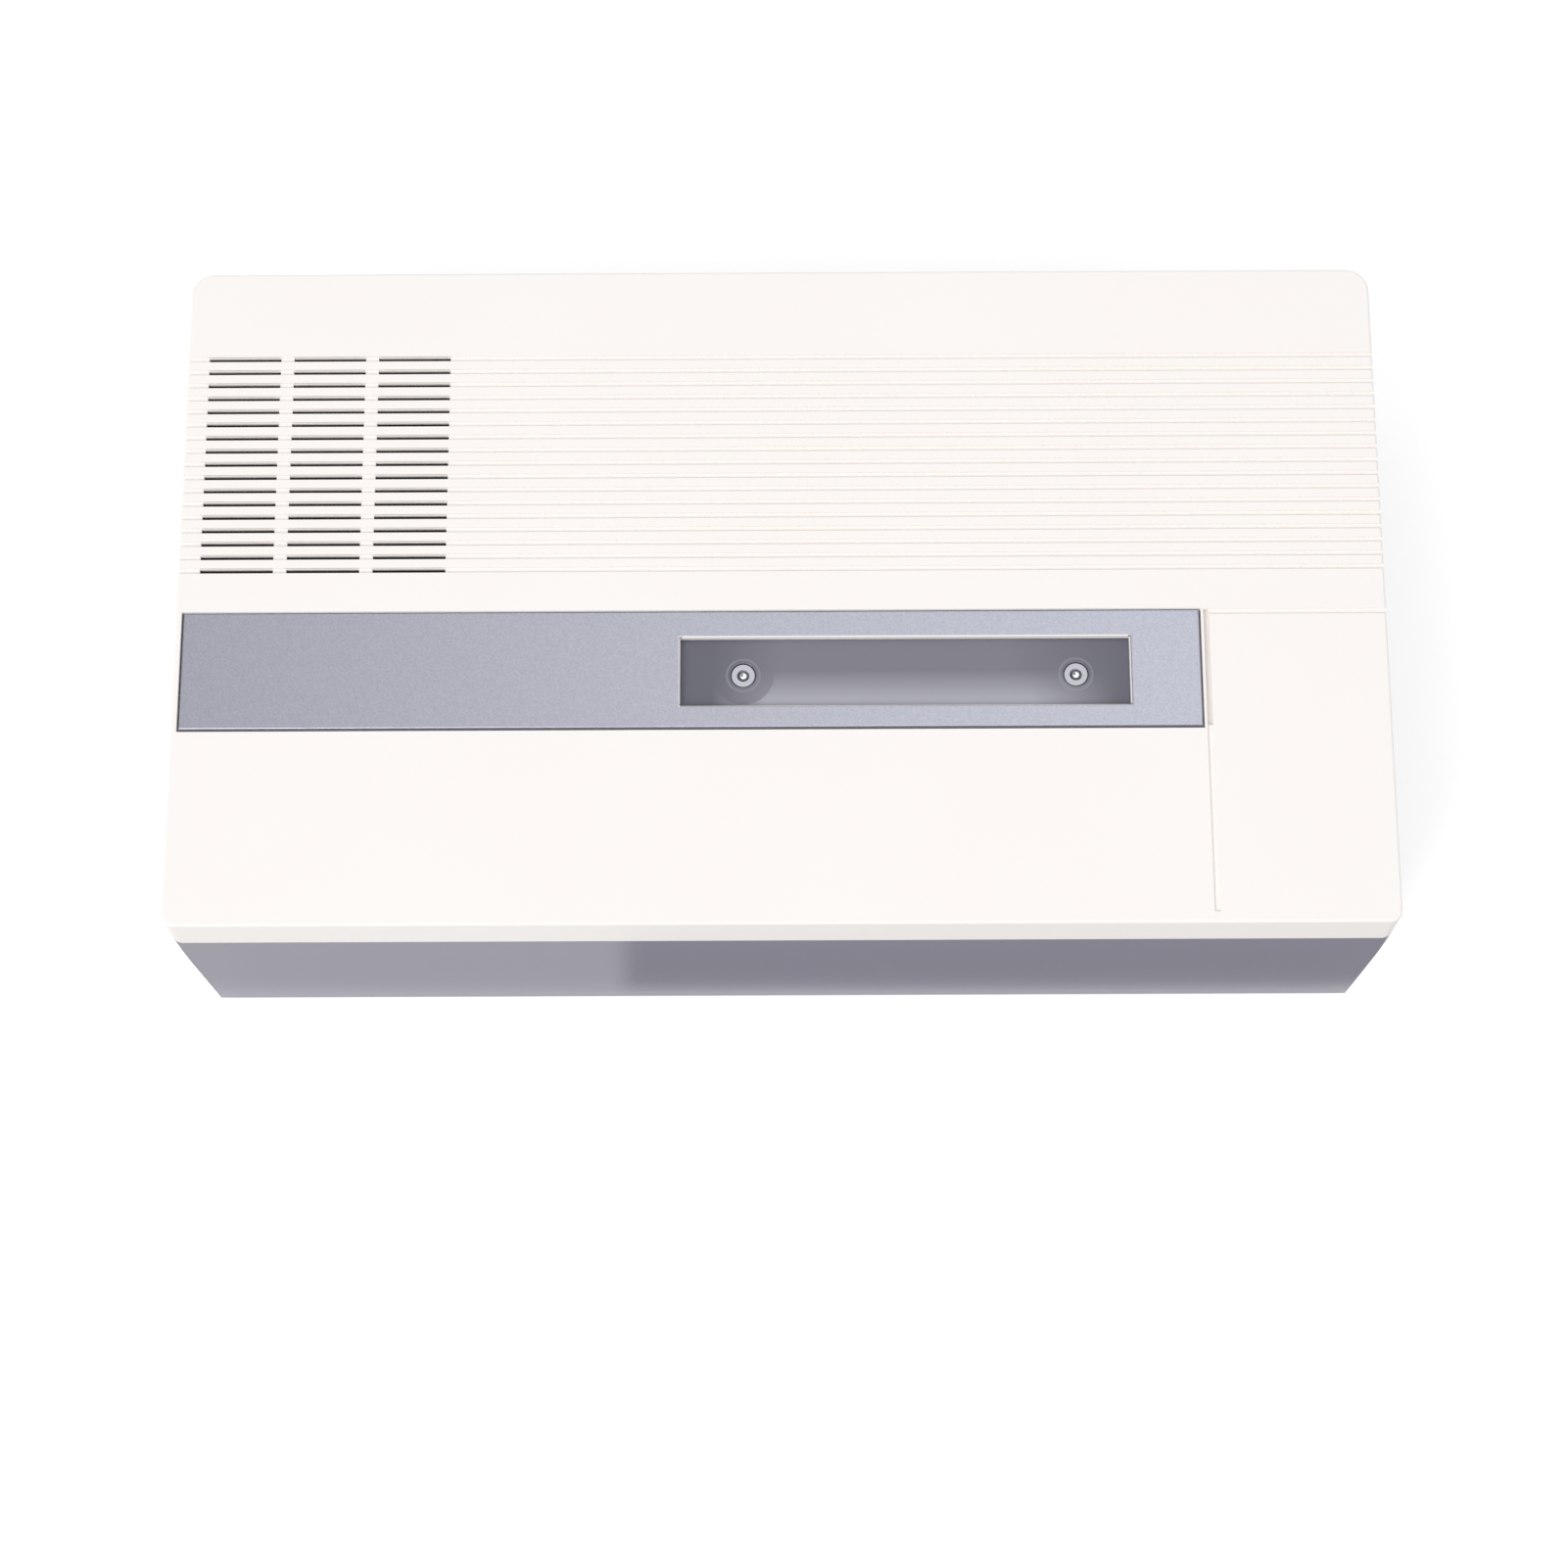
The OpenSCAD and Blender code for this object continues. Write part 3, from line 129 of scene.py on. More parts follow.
def solid_copy(node):
    """A copy of a CAD piece as a bmesh, with its loose triangles joined into whole faces."""
    mesh = frame["nodes"][node].data.copy()
    for name in ("custom_normal", "sharp_face", "sharp_edge"):
        if name in mesh.attributes:
            mesh.attributes.remove(mesh.attributes[name])
    shape = bmesh.new()
    shape.from_mesh(mesh)
    bmesh.ops.remove_doubles(shape, verts=shape.verts, dist=WELD * MM)
    bmesh.ops.dissolve_limit(shape, angle_limit=radians(ONE_PLANE), verts=shape.verts, edges=shape.edges)
    return shape


def as_object(shape, name):
    """Turns a bmesh into an object of the scene and frees the bmesh."""
    mesh = bpy.data.meshes.new(name)
    shape.to_mesh(mesh)
    shape.free()
    piece = bpy.data.objects.new(name, mesh)
    bpy.context.scene.collection.objects.link(piece)
    return piece


def stand_in(shape, name, material, *nodes, edge=0.0):
    """Makes an object of a bmesh in the place of CAD pieces, its edges rounded as a mould leaves them."""
    piece = as_object(shape, name)
    piece.data.shade_smooth()
    piece.data.set_sharp_from_angle(angle=radians(SMOOTH_BELOW))
    piece.data.materials.append(material)
    if edge:
        bevel = piece.modifiers.new("rounded edges", "BEVEL")
        bevel.width = edge * MM
        bevel.segments = ROUND_STEPS
        bevel.limit_method = "ANGLE"
        bevel.angle_limit = radians(ROUNDED_ABOVE)
        bevel.use_clamp_overlap = False
    flats = piece.modifiers.new("flat faces stay flat", "WEIGHTED_NORMAL")
    flats.keep_sharp = True
    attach(piece, body_of[nodes[0]])
    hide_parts(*nodes)
    return piece


rubber = moulded("nitrile rubber, moulded", "#26262a", "#303034", 0.72, 0.35, 0.02)
stand_in(solid_copy("feet"), "rubber_feet", rubber, "feet", edge=0.3)

# The tub, one grey ABS moulding with screw posts, key openings and the outer hinge knuckles.
# Its faces are satin, smooth enough to mirror the table faintly at a low angle, and only the edge
# that it stands over is eased.
grey_abs = moulded("grey ABS, satin moulded", "#878594", "#8b8998", 0.24, 0.5, 0.003, drift=40)
FOOT_EDGE = 0.25
LONG_EDGE = 20
TOUCH = 0.01
UPRIGHT = 0.5
tub_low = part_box("tub")[0]
tub_shape = solid_copy("tub")
foot_edges = []
for edge in tub_shape.edges:
    lowest = all(vert.co.z < tub_low.z + TOUCH * MM for vert in edge.verts)
    outer = max(face.normal.z for face in edge.link_faces) > -UPRIGHT
    if lowest and outer and edge.calc_length() > LONG_EDGE * MM:
        foot_edges.append(edge)
bmesh.ops.bevel(tub_shape, geom=foot_edges, offset=FOOT_EDGE * MM, offset_type="OFFSET", segments=ROUND_STEPS,
                profile=0.5, affect="EDGES", material=-1)
stand_in(tub_shape, "grey_tub", grey_abs, "tub")

# The circuit board on four standoffs: green solder resist over copper tracks on glass laminate.
# Black moulded chips and capacitors stand on it, and the sockets look out of the left wall.
laminate, laminate_shader, laminate_place = blank("solder resist over copper tracks")
TRACK_PITCH = 1.6
tracks = add(laminate, "TexBrick", {"Vector": laminate_place, "Scale": 1 / (TRACK_PITCH * MM),
                                    "Color1": linear("#1d5b38"), "Color2": linear("#206440"),
                                    "Mortar": linear("#2f7d50"), "Mortar Size": 0.12, "Brick Width": 3.2,
                                    "Row Height": 1})
join(laminate, tracks.outputs["Color"], laminate_shader.inputs["Base Color"])
track_step = add(laminate, "Bump", {"Height": tracks.outputs["Fac"], "Strength": 0.4, "Distance": 0.03 * MM})
join(laminate, track_step.outputs[0], laminate_shader.inputs["Normal"])
laminate_shader.inputs["Roughness"].default_value = 0.35
dress(laminate, "main_board")
black_abs = moulded("black ABS, grained mould", "#1f1f23", "#29292d", 0.55, 0.3, 0.015)
dress(black_abs, "board_parts", "headphone_jack", "volume_pot", "motor_switch", "speaker_frame")

# The battery pack, two cells side by side in blue PVC film, shrunk on with hot air. The film is
# glossy and slightly wavy, and pulls tight over the edges.
film = moulded("PVC shrink film", "#274f86", "#2f5c98", 0.25, 3, 0.08)
stand_in(solid_copy("battery_pack"), "battery", film, "battery_pack", edge=0.8)

# Steel pieces. The charging socket, shafts and pins are ground or drawn bright. The brackets, the
# motor's can and the cassette's leaf springs are zinc plated sheet with the mill's fine lines.
GLOSS_SHARE = 0.2


def steel(name, dark, light, roughness, streak, across):
    """A bright metal with fine streaks along one direction, which the brushing or drawing left."""
    material, shader, place = blank(name)
    turned = add(material, "Mapping", {"Vector": place, "Scale": across})
    lines = add(material, "TexNoise", {"Vector": turned.outputs[0], "Scale": 1 / (streak * MM), "Detail": 4})
    shade = add(material, "MixRGB", {0: lines.outputs["Fac"], 1: linear(dark), 2: linear(light)})
    join(material, shade.outputs[0], shader.inputs["Base Color"])
    gloss = add(material, "MapRange", {"Value": lines.outputs["Fac"], "To Min": roughness * (1 - GLOSS_SHARE),
                                       "To Max": roughness * (1 + GLOSS_SHARE)})
    join(material, gloss.outputs[0], shader.inputs["Roughness"])
    shader.inputs["Metallic"].default_value = 1
    return material


bright_steel = steel("ground steel", "#b9bbbe", "#d9dadc", 0.16, 0.4, (1, 1, 0.1))
zinc_sheet = steel("zinc plated sheet steel", "#9da0a4", "#c2c4c7", 0.34, 0.25, (0.08, 1, 1))
dress(bright_steel, "hinge_pins", "capstan", "motor_shaft", "pinch_axle", "pinch_pivot", "charging_socket")
dress(zinc_sheet, "thrust_bracket", "key_bracket", "motor", "cassette_springs", "supply_clip",
      "carriage_studs")

# Pan-head screws with a cross recess, zinc plated, in the deck, the motor, the head and the board.
# The recess is pressed into each head before the thread is rolled.
screw_steel = steel("zinc plated screw", "#85878a", "#a9abae", 0.3, 0.15, (1, 1, 1))
RECESS_L = 2.2
RECESS_W = 0.55
RECESS_DEPTH = 0.6


def carve(shape, cutter):
    """Cuts one closed bmesh out of another and frees both; the result is a new bmesh."""
    made = [as_object(shape, "carved"), as_object(cutter, "cutter")]
    cut = made[0].modifiers.new("cut", "BOOLEAN")
    cut.operation = "DIFFERENCE"
    cut.solver = "EXACT"
    cut.object = made[1]
    result = bmesh.new()
    result.from_object(made[0], bpy.context.evaluated_depsgraph_get())
    for piece in made:
        bpy.data.objects.remove(piece)
    return result


def islands(shape):
    """The separate solids of a bmesh, as lists of vertices."""
    left = set(shape.verts)
    while left:
        found = {left.pop()}
        front = list(found)
        while front:
            for edge in front.pop().link_edges:
                for vert in edge.verts:
                    if vert in left:
                        left.remove(vert)
                        found.add(vert)
                        front.append(vert)
        yield list(found)


def raise_up(shape, faces, height):
    """Turns flat faces of a bmesh into closed solids of a height."""
    grown = bmesh.ops.extrude_face_region(shape, geom=faces)["geom"]
    lifted = [part for part in grown if isinstance(part, bmesh.types.BMVert)]
    bmesh.ops.translate(shape, verts=lifted, vec=(0, 0, height))
    bmesh.ops.recalc_face_normals(shape, faces=shape.faces)


for screws in ("deck_screws", "motor_screws", "head_screws", "board_screws"):
    heads = solid_copy(screws)
    crosses = bmesh.new()
    for solid in islands(heads):
        highest = max(vert.co.z for vert in solid)
        rim = [vert.co for vert in solid if vert.co.z > highest - TOUCH * MM]
        floor = sum(rim, Vector()) / len(rim) - Vector((0, 0, RECESS_DEPTH * MM))
        outline = []
        for quarter in range(4):
            turn = Matrix.Rotation(quarter * pi / 2, 3, "Z")
            for x, y in ((RECESS_L, -RECESS_W), (RECESS_L, RECESS_W), (RECESS_W, RECESS_W)):
                outline.append(crosses.verts.new(floor + turn @ Vector((x, y, 0)) * MM / 2))
        raise_up(crosses, [crosses.faces.new(outline)], 2 * RECESS_DEPTH * MM)
    stand_in(carve(heads, crosses), "cross_" + screws, screw_steel, screws, edge=0.12)
dress(screw_steel, "bracket_screws")

# Speaker in its tower: a ferrite ring magnet behind a paper cone, with a foam gasket round it.
# The paper is black and felted, with short fibres.
ferrite = moulded("sintered ferrite", "#3a3a3d", "#48484b", 0.6, 0.2, 0.01)
dress(ferrite, "speaker_magnet")
paper = moulded("pressed cone paper", "#19191b", "#29292c", 0.85, 0.25, 0.05, drift=1.5)
dress(paper, "speaker_cone")
foam = moulded("closed-cell foam", "#1e1e20", "#2c2c2f", 0.9, 0.5, 0.12, drift=2)
dress(foam, "speaker_gasket")

# Drive under the deck. The flywheel is die cast and turned on a lathe, which leaves fine rings
# round its axis; the bushes and the motor's pulley are turned brass, the take-up pulley and the
# pad are nylon, and the belts are rubber.
turned, turned_shader, turned_place = blank("turned die-cast zinc")
wheel_low, wheel_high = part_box("flywheel")
RING_PITCH = 0.5
# The wave texture turns by this many radians in one unit of length
WAVE_STEP = 20
centred = add(turned, "Mapping", {"Vector": turned_place, "Location": -(wheel_low + wheel_high) / 2})
wave_scale = 2 * pi / WAVE_STEP / (RING_PITCH * MM)
rings = add(turned, "TexWave", {"Vector": centred.outputs[0], "Scale": wave_scale, "Distortion": 0.2},
            wave_type="RINGS", rings_direction="Z")
ring_shade = add(turned, "MixRGB", {0: rings.outputs["Fac"], 1: linear("#8f9194"), 2: linear("#b5b7ba")})
join(turned, ring_shade.outputs[0], turned_shader.inputs["Base Color"])
turned_shader.inputs["Metallic"].default_value = 1
turned_shader.inputs["Roughness"].default_value = 0.35
dress(turned, "flywheel")
brass = steel("turned brass", "#b08d4a", "#d0ac66", 0.28, 0.2, (1, 1, 4))
dress(brass, "reel_bushes", "capstan_bearing", "motor_pulley")
nylon = moulded("natural nylon", "#dcd6c4", "#e6e1d2", 0.5, 0.6, 0.01)
dress(nylon, "takeup_pulley", "thrust_pad")
dress(rubber, "drive_belt", "takeup_belt")

# The deck plate, a dark grey ABS moulding that closes the tub. It carries the cassette's rests,
# the locating pins and the speaker's tower, and has the coarse grain of a spark-eroded mould.
deck_abs = moulded("dark grey ABS, spark-eroded grain", "#3a3a40", "#434349", 0.6, 0.45, 0.03)
stand_in(solid_copy("deck_plate"), "deck", deck_abs, "deck_plate", edge=0.2)

# Reels: a ground steel shaft with a polished dome, in a grey acetal sleeve with six fins that turn
# the cassette's hub. The acetal is waxy and even.
acetal = moulded("grey acetal", "#bdbec6", "#c6c7ce", 0.38, 0.5, 0.006)
for reel in ("takeup", "supply"):
    stand_in(solid_copy(reel + "_sleeve"), reel + "_hub", acetal, reel + "_sleeve", edge=0.12)
polished_steel = steel("polished steel", "#dadbdd", "#f0f0f1", 0.1, 0.4, (1, 1, 0.1))
dress(polished_steel, "takeup_shaft", "supply_shaft")

# Head carriage of zinc plated sheet with the shielded head, and the sprung arm with the pinch
# roller. The head's face is lapped bright, and the roller's rubber is ground dull.
lapped = steel("lapped head metal", "#a6a8ab", "#dcdddf", 0.12, 0.6, (1, 0.1, 1))
stand_in(solid_copy("play_head"), "tape_head", lapped, "play_head", edge=0.15)
stand_in(solid_copy("head_carriage"), "carriage_sheet", zinc_sheet, "head_carriage", edge=0.12)
stand_in(solid_copy("pinch_arm"), "arm_sheet", zinc_sheet, "pinch_arm", edge=0.1)
ground_rubber = moulded("ground roller rubber", "#202022", "#2b2b2d", 0.8, 0.2, 0.02)
stand_in(solid_copy("pinch_roller"), "roller", ground_rubber, "pinch_roller", edge=0.25)

# Three keys in dark grey ABS that slide through the back wall, and the notched volume wheel.
# White pad-printed signs on the keys' upper faces say play, forward and stop. A coil spring of
# drawn wire round each stem shortens as its key goes in.
key_abs = moulded("dark ABS, satin moulded", "#4c4c52", "#54545a", 0.42, 0.4, 0.008)
print_ink = moulded("white pad-printing ink", "#e6e5e2", "#f0efec", 0.6, 0.3, 0.005)
SIGN = 2.8
SIGN_IN = 2.9
INK = 0.03
KEY_END = 0.1


def sign(key, outlines):
    """Prints flat shapes on the end of a key's upper face; an outline is in units of the sign's height."""
    low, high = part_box(key)
    end = [vert.co for vert in frame["nodes"][key].data.vertices if vert.co.y > high.y - KEY_END * MM]
    middle = Vector(((low.x + high.x) / 2, high.y - SIGN_IN * MM, max(corner.z for corner in end)))
    shape = bmesh.new()
    for outline in outlines:
        shape.faces.new([shape.verts.new(middle + Vector((x, y, 0)) * SIGN * MM) for x, y in outline])
    raise_up(shape, shape.faces[:], INK * MM)
    piece = as_object(shape, key + "_sign")
    piece.data.materials.append(print_ink)
    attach(piece, body_of[key])


HALF = 0.45
arrow = [(-0.4, -0.5), (HALF, 0), (-0.4, 0.5)]
sign("play_key", [arrow])
sign("forward_key", [[(x - HALF, y) for x, y in arrow], [(x + HALF, y) for x, y in arrow]])
sign("stop_key", [[(-HALF, -HALF), (HALF, -HALF), (HALF, HALF), (-HALF, HALF)]])
for name in ("play", "forward", "stop"):
    key, spring, slide = name + "_key", name + "_spring", name + "_key_slide"
    stand_in(solid_copy(key), key + "_cap", key_abs, key, edge=0.4)
    coil = stand_in(solid_copy(spring), name + "_coil", bright_steel, spring)
    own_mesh(coil)
stand_in(solid_copy("volume_wheel"), "thumb_wheel", key_abs, "volume_wheel", edge=0.12)

# The lid, one white ABS moulding. Its upper edge is rounded all round, ribs are moulded into the
# back half with the grille's slots between them, and shallow grooves run right of the strip.
white_abs = moulded("white ABS, satin moulded", "#f9f4f1", "#fbf7f4", 0.42, 0.5, 0.003, drift=30)
TOP_ROUND = 0.35
TOP_STEPS = 6
FRONT_R = 1.5
BACK_R = 3
CORNER_STEPS = 12
HINGE_REACH = 2.4
ROUND_BAND = 1.6
BEYOND = 9
CARVE_WELD = 0.001
lid_low, lid_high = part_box("lid")
lid_back = lid_high.y - HINGE_REACH * MM


def brick(shape, low, high):
    """Adds a block to a bmesh, given by two opposite corners."""
    low, high = Vector(low), Vector(high)
    place = Matrix.Translation((low + high) / 2) @ Matrix.Diagonal((*(high - low), 1))
    bmesh.ops.create_cube(shape, size=1, matrix=place)


rounder = bmesh.new()
brick(rounder, (lid_low.x - BEYOND * MM, lid_low.y - BEYOND * MM, lid_high.z - ROUND_BAND * MM),
      (lid_high.x + BEYOND * MM, lid_back + BEYOND * MM, lid_high.z + BEYOND * MM))
core = bmesh.new()
brick(core, (lid_low.x, lid_low.y, lid_high.z - BEYOND * MM), (lid_high.x, lid_back, lid_high.z))
for front, radius in ((True, FRONT_R), (False, BACK_R)):
    uprights = [edge for edge in core.edges if (edge.verts[0].co.y < 0) == front
                and abs(edge.verts[0].co.z - edge.verts[1].co.z) > TOUCH * MM]
    bmesh.ops.bevel(core, geom=uprights, offset=radius * MM, offset_type="OFFSET", segments=CORNER_STEPS,
                    profile=0.5, affect="EDGES", material=-1)
rim = [edge for edge in core.edges if all(vert.co.z > lid_high.z - TOUCH * MM for vert in edge.verts)]
bmesh.ops.bevel(core, geom=rim, offset=TOP_ROUND * MM, offset_type="OFFSET", segments=TOP_STEPS, profile=0.5,
                affect="EDGES", material=-1)
lid_shape = carve(solid_copy("lid"), carve(rounder, core))
bmesh.ops.remove_doubles(lid_shape, verts=lid_shape.verts, dist=CARVE_WELD * MM)
stand_in(lid_shape, "white_lid", white_abs, "lid")

# The strip, a white ABS inlay in metallic grey paint with a fine flake, pressed into the lid's recess. The
# window's walls and their chamfered rim are given the white ABS, a painted highlight that draws a light line
# round the window.
paint, paint_shader, paint_place = blank("metallic grey paint")
FLAKE = 0.16
WINDOW_EDGE = 0.12
STRIP_BORDER = 1
PAINTED_HIGHLIGHT = 1
flakes = add(paint, "TexVoronoi", {"Vector": paint_place, "Scale": 1 / (FLAKE * MM)})
sparkle = add(paint, "SeparateColor", {"Color": flakes.outputs["Color"]})
flake_shade = add(paint, "MixRGB", {0: sparkle.outputs[0], 1: linear("#b2b3c0"), 2: linear("#c0c1cd")})
join(paint, flake_shade.outputs[0], paint_shader.inputs["Base Color"])
paint_shader.inputs["Metallic"].default_value = 0.8
paint_shader.inputs["Roughness"].default_value = 0.36
strip_shape = solid_copy("accent_strip")
strip_low, strip_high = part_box("accent_strip")
# The window's walls and the chamfer round its top take the white ABS as a painted highlight
window_walls = []
for face in strip_shape.faces:
    middle = face.calc_center_median()
    inside = (strip_low.x + STRIP_BORDER * MM < middle.x < strip_high.x - STRIP_BORDER * MM
              and strip_low.y + STRIP_BORDER * MM < middle.y < strip_high.y - STRIP_BORDER * MM)
    if inside and abs(face.normal.z) < UPRIGHT:
        face.material_index = PAINTED_HIGHLIGHT
        window_walls.append(face)
window_rim = [edge for face in window_walls for edge in face.edges
              if all(vert.co.z > strip_high.z - TOUCH * MM for vert in edge.verts)]
highlight_rim = bmesh.ops.bevel(strip_shape, geom=window_rim, offset=WINDOW_EDGE * MM, offset_type="OFFSET",
                         segments=1, profile=0.5, affect="EDGES", material=-1)
for face in highlight_rim["faces"]:
    face.material_index = PAINTED_HIGHLIGHT
strip = stand_in(strip_shape, "grey_strip", paint, "accent_strip", edge=0.16)
strip.data.materials.append(white_abs)

# The window pane, smoked acrylic heat-staked under the strip, with two holes for the spindle ends.
# Its colour is painted with light and shade: painted lighter between the spindles and lighter still towards
# the front, with a painted disc of shade round the left spindle and a fine lighter ring round each hole. The
# lips of the holes stand close to the sleeves.
smoke, smoke_shader, smoke_place = blank("smoked acrylic, painted light and shade")
spindles = [(low + high) / 2 for low, high in (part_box("takeup_shaft"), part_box("supply_shaft"))]
HUB_SHADE = 3.9
HUB_SOFT = 0.1
HUB_FADE = 0.35
HUB_RING = 2.12
RING_SOFT = 0.2
RING_SHARE = 0.5
HOLE_LIP = 1.62
WINDOW_FRONT = 4.2
FADE_DEPTH = 4.8
# Each pair says where a fade starts and ends, from the left or the right spindle
MIDDLE_LIGHT_LEFT = (-4, 5)
MIDDLE_LIGHT_RIGHT = (6, -9)
FADE_LEFT = (-4, 3)
FADE_RIGHT = (5, -6)
apart = add(smoke, "SeparateXYZ", {"Vector": smoke_place})
level_place = add(smoke, "CombineXYZ", {0: apart.outputs["X"], 1: apart.outputs["Y"]}).outputs[0]


def ramp(value, start, end, least=0):
    """Goes from its least to 1 between two places in metres."""
    return add(smoke, "MapRange", {"Value": value, "From Min": start, "From Max": end,
                                   "To Min": least}).outputs[0]


def times(first, second):
    """Two node outputs, or an output and a number, multiplied."""
    return add(smoke, "Math", {0: first, 1: second}, operation="MULTIPLY").outputs[0]


def between(left, right):
    """Rises past the left spindle and falls again before the right one."""
    starts = [spindles[0].x + place * MM for place in left]
    ends = [spindles[1].x + place * MM for place in right]
    return times(ramp(apart.outputs["X"], *starts), ramp(apart.outputs["X"], *ends))


around = [add(smoke, "VectorMath", {0: level_place, 1: (spindle.x, spindle.y, 0)},
              operation="DISTANCE").outputs["Value"] for spindle in spindles]
window_front = spindles[0].y - WINDOW_FRONT * MM
# Painted light: the pane is lighter between the spindles and towards the front, and darker in a painted shade
# round the left spindle
broad = between(MIDDLE_LIGHT_LEFT, MIDDLE_LIGHT_RIGHT)
hub_shade = ramp(around[0], (HUB_SHADE - HUB_SOFT) * MM, (HUB_SHADE + HUB_SOFT) * MM, HUB_FADE)
fade = times(ramp(apart.outputs["Y"], window_front + FADE_DEPTH * MM, window_front),
             times(hub_shade, between(FADE_LEFT, FADE_RIGHT)))
pane_painted_light = add(smoke, "MixRGB", {0: broad, 1: linear("#686875"), 2: linear("#807f8b")})
pane_painted_light = add(smoke, "MixRGB", {0: fade, 1: pane_painted_light.outputs[0], 2: linear("#bcbcc7")})
for distance in around:
    ring = times(ramp(distance, (HUB_RING - RING_SOFT) * MM, HUB_RING * MM),
                 ramp(distance, (HUB_RING + RING_SOFT) * MM, HUB_RING * MM))
    pane_painted_light = add(smoke, "MixRGB", {0: times(ring, RING_SHARE), 1: pane_painted_light.outputs[0], 2: linear("#a2a2ac")})
join(smoke, pane_painted_light.outputs[0], smoke_shader.inputs["Base Color"])
smoke_shader.inputs["Roughness"].default_value = 0.06
smoke_shader.inputs["IOR"].default_value = 1.49
smoke_shader.inputs["Alpha"].default_value = 0.86
pane_shape = solid_copy("window_pane")
for spindle in spindles:
    for vert in pane_shape.verts:
        off = Vector((vert.co.x - spindle.x, vert.co.y - spindle.y, 0))
        if off.length < HUB_RING * MM:
            vert.co -= off * (1 - HOLE_LIP * MM / off.length)
stand_in(pane_shape, "smoked_pane", smoke, "window_pane", edge=0.08)

# Black acoustic cloth glued under the grille, a plain weave that is too fine to show at its real
# pitch from a step away and is drawn a little coarser.
cloth, cloth_shader, cloth_place = blank("black acoustic cloth")
THREAD = 0.3
weave = add(cloth, "TexChecker", {"Vector": cloth_place, "Scale": 1 / (THREAD * MM),
                                  "Color1": linear("#2a2a2d"), "Color2": linear("#151517")})
join(cloth, weave.outputs["Color"], cloth_shader.inputs["Base Color"])
weave_step = add(cloth, "Bump", {"Height": weave.outputs["Fac"], "Strength": 0.6, "Distance": 0.08 * MM})
join(cloth, weave_step.outputs[0], cloth_shader.inputs["Normal"])
cloth_shader.inputs["Roughness"].default_value = 0.95
dress(cloth, "grille_cloth")

# The table that the player stands on, matt white laminate; its size is in metres. Glossy rays see a painted
# shade on it in front of the player, with a step at SHADE_EDGE, and a painted glow that is strongest at the
# player's foot; this painted reflection gives the tub's front its two tones, and the camera sees it pale.
TABLE_SIDE = 3
TABLE_T = 0.02
SHADE_EDGE = -21.5
SHADE_SOFT = 1.5
SHADE_LEAST = 0.5
SHADE_NEAR = (0.1, -1.9)
SHADE_FAR = (-18, -11)
SEEN_GLOW = 0.55
PAINTED_MIRROR_GLOW = 0.25
table = bmesh.new()
brick(table, (-TABLE_SIDE, -TABLE_SIDE, -TABLE_T), (TABLE_SIDE, TABLE_SIDE, 0))
table_top = as_object(table, "table")
matt_white, table_shader, table_place = blank("matt white table, painted shade in reflections")
table_shader.inputs["Roughness"].default_value = 0.9
table_top.data.materials.append(matt_white)
rays = add(matt_white, "LightPath", {})
spot = add(matt_white, "SeparateXYZ", {"Vector": table_place})
# Painted shade that only glossy rays see: none at the player's foot, half left of SHADE_EDGE and full right
# of it close in front, and SHADE_LEAST far in front
shaded_x = add(matt_white, "MapRange", {"Value": spot.outputs["X"], "To Min": SHADE_LEAST,
                                        "From Min": (SHADE_EDGE - SHADE_SOFT) * MM,
                                        "From Max": (SHADE_EDGE + SHADE_SOFT) * MM})
shaded_y = add(matt_white, "MapRange", {"Value": spot.outputs["Y"],
                                        "From Min": lid_low.y + SHADE_NEAR[0] * MM,
                                        "From Max": lid_low.y + SHADE_NEAR[1] * MM})
shaded_near = add(matt_white, "Math", {0: shaded_x.outputs[0], 1: shaded_y.outputs[0]}, operation="MULTIPLY")
shaded = add(matt_white, "MapRange", {"Value": spot.outputs["Y"], "From Min": lid_low.y + SHADE_FAR[0] * MM,
                                      "From Max": lid_low.y + SHADE_FAR[1] * MM, "To Min": SHADE_LEAST,
                                      "To Max": shaded_near.outputs[0]})
painted_mirror_shade = add(matt_white, "MixRGB", {0: shaded.outputs[0], 1: linear("#ffffff"), 2: linear("#747474")})
table_and_painted_shade = add(matt_white, "MixRGB", {0: rays.outputs["Is Glossy Ray"], 1: linear("#dcdcdc"),
                                         2: painted_mirror_shade.outputs[0]})
join(matt_white, table_and_painted_shade.outputs[0], table_shader.inputs["Base Color"])
# A painted glow that glossy rays see in the painted shade's colour, brightest where the shade is least; the
# camera sees an even glow that keeps the table pale
seen_glow = add(matt_white, "Math", {0: rays.outputs["Is Camera Ray"], 1: SEEN_GLOW}, operation="MULTIPLY")
glow = add(matt_white, "Math", {0: rays.outputs["Is Glossy Ray"], 1: PAINTED_MIRROR_GLOW, 2: seen_glow.outputs[0]},
           operation="MULTIPLY_ADD")
join(matt_white, glow.outputs[0], table_shader.inputs["Emission Strength"])
glow_and_painted_shade = add(matt_white, "MixRGB", {0: rays.outputs["Is Glossy Ray"], 1: linear("#ffffff"),
                                        2: painted_mirror_shade.outputs[0]})
join(matt_white, glow_and_painted_shade.outputs[0], table_shader.inputs["Emission Color"])

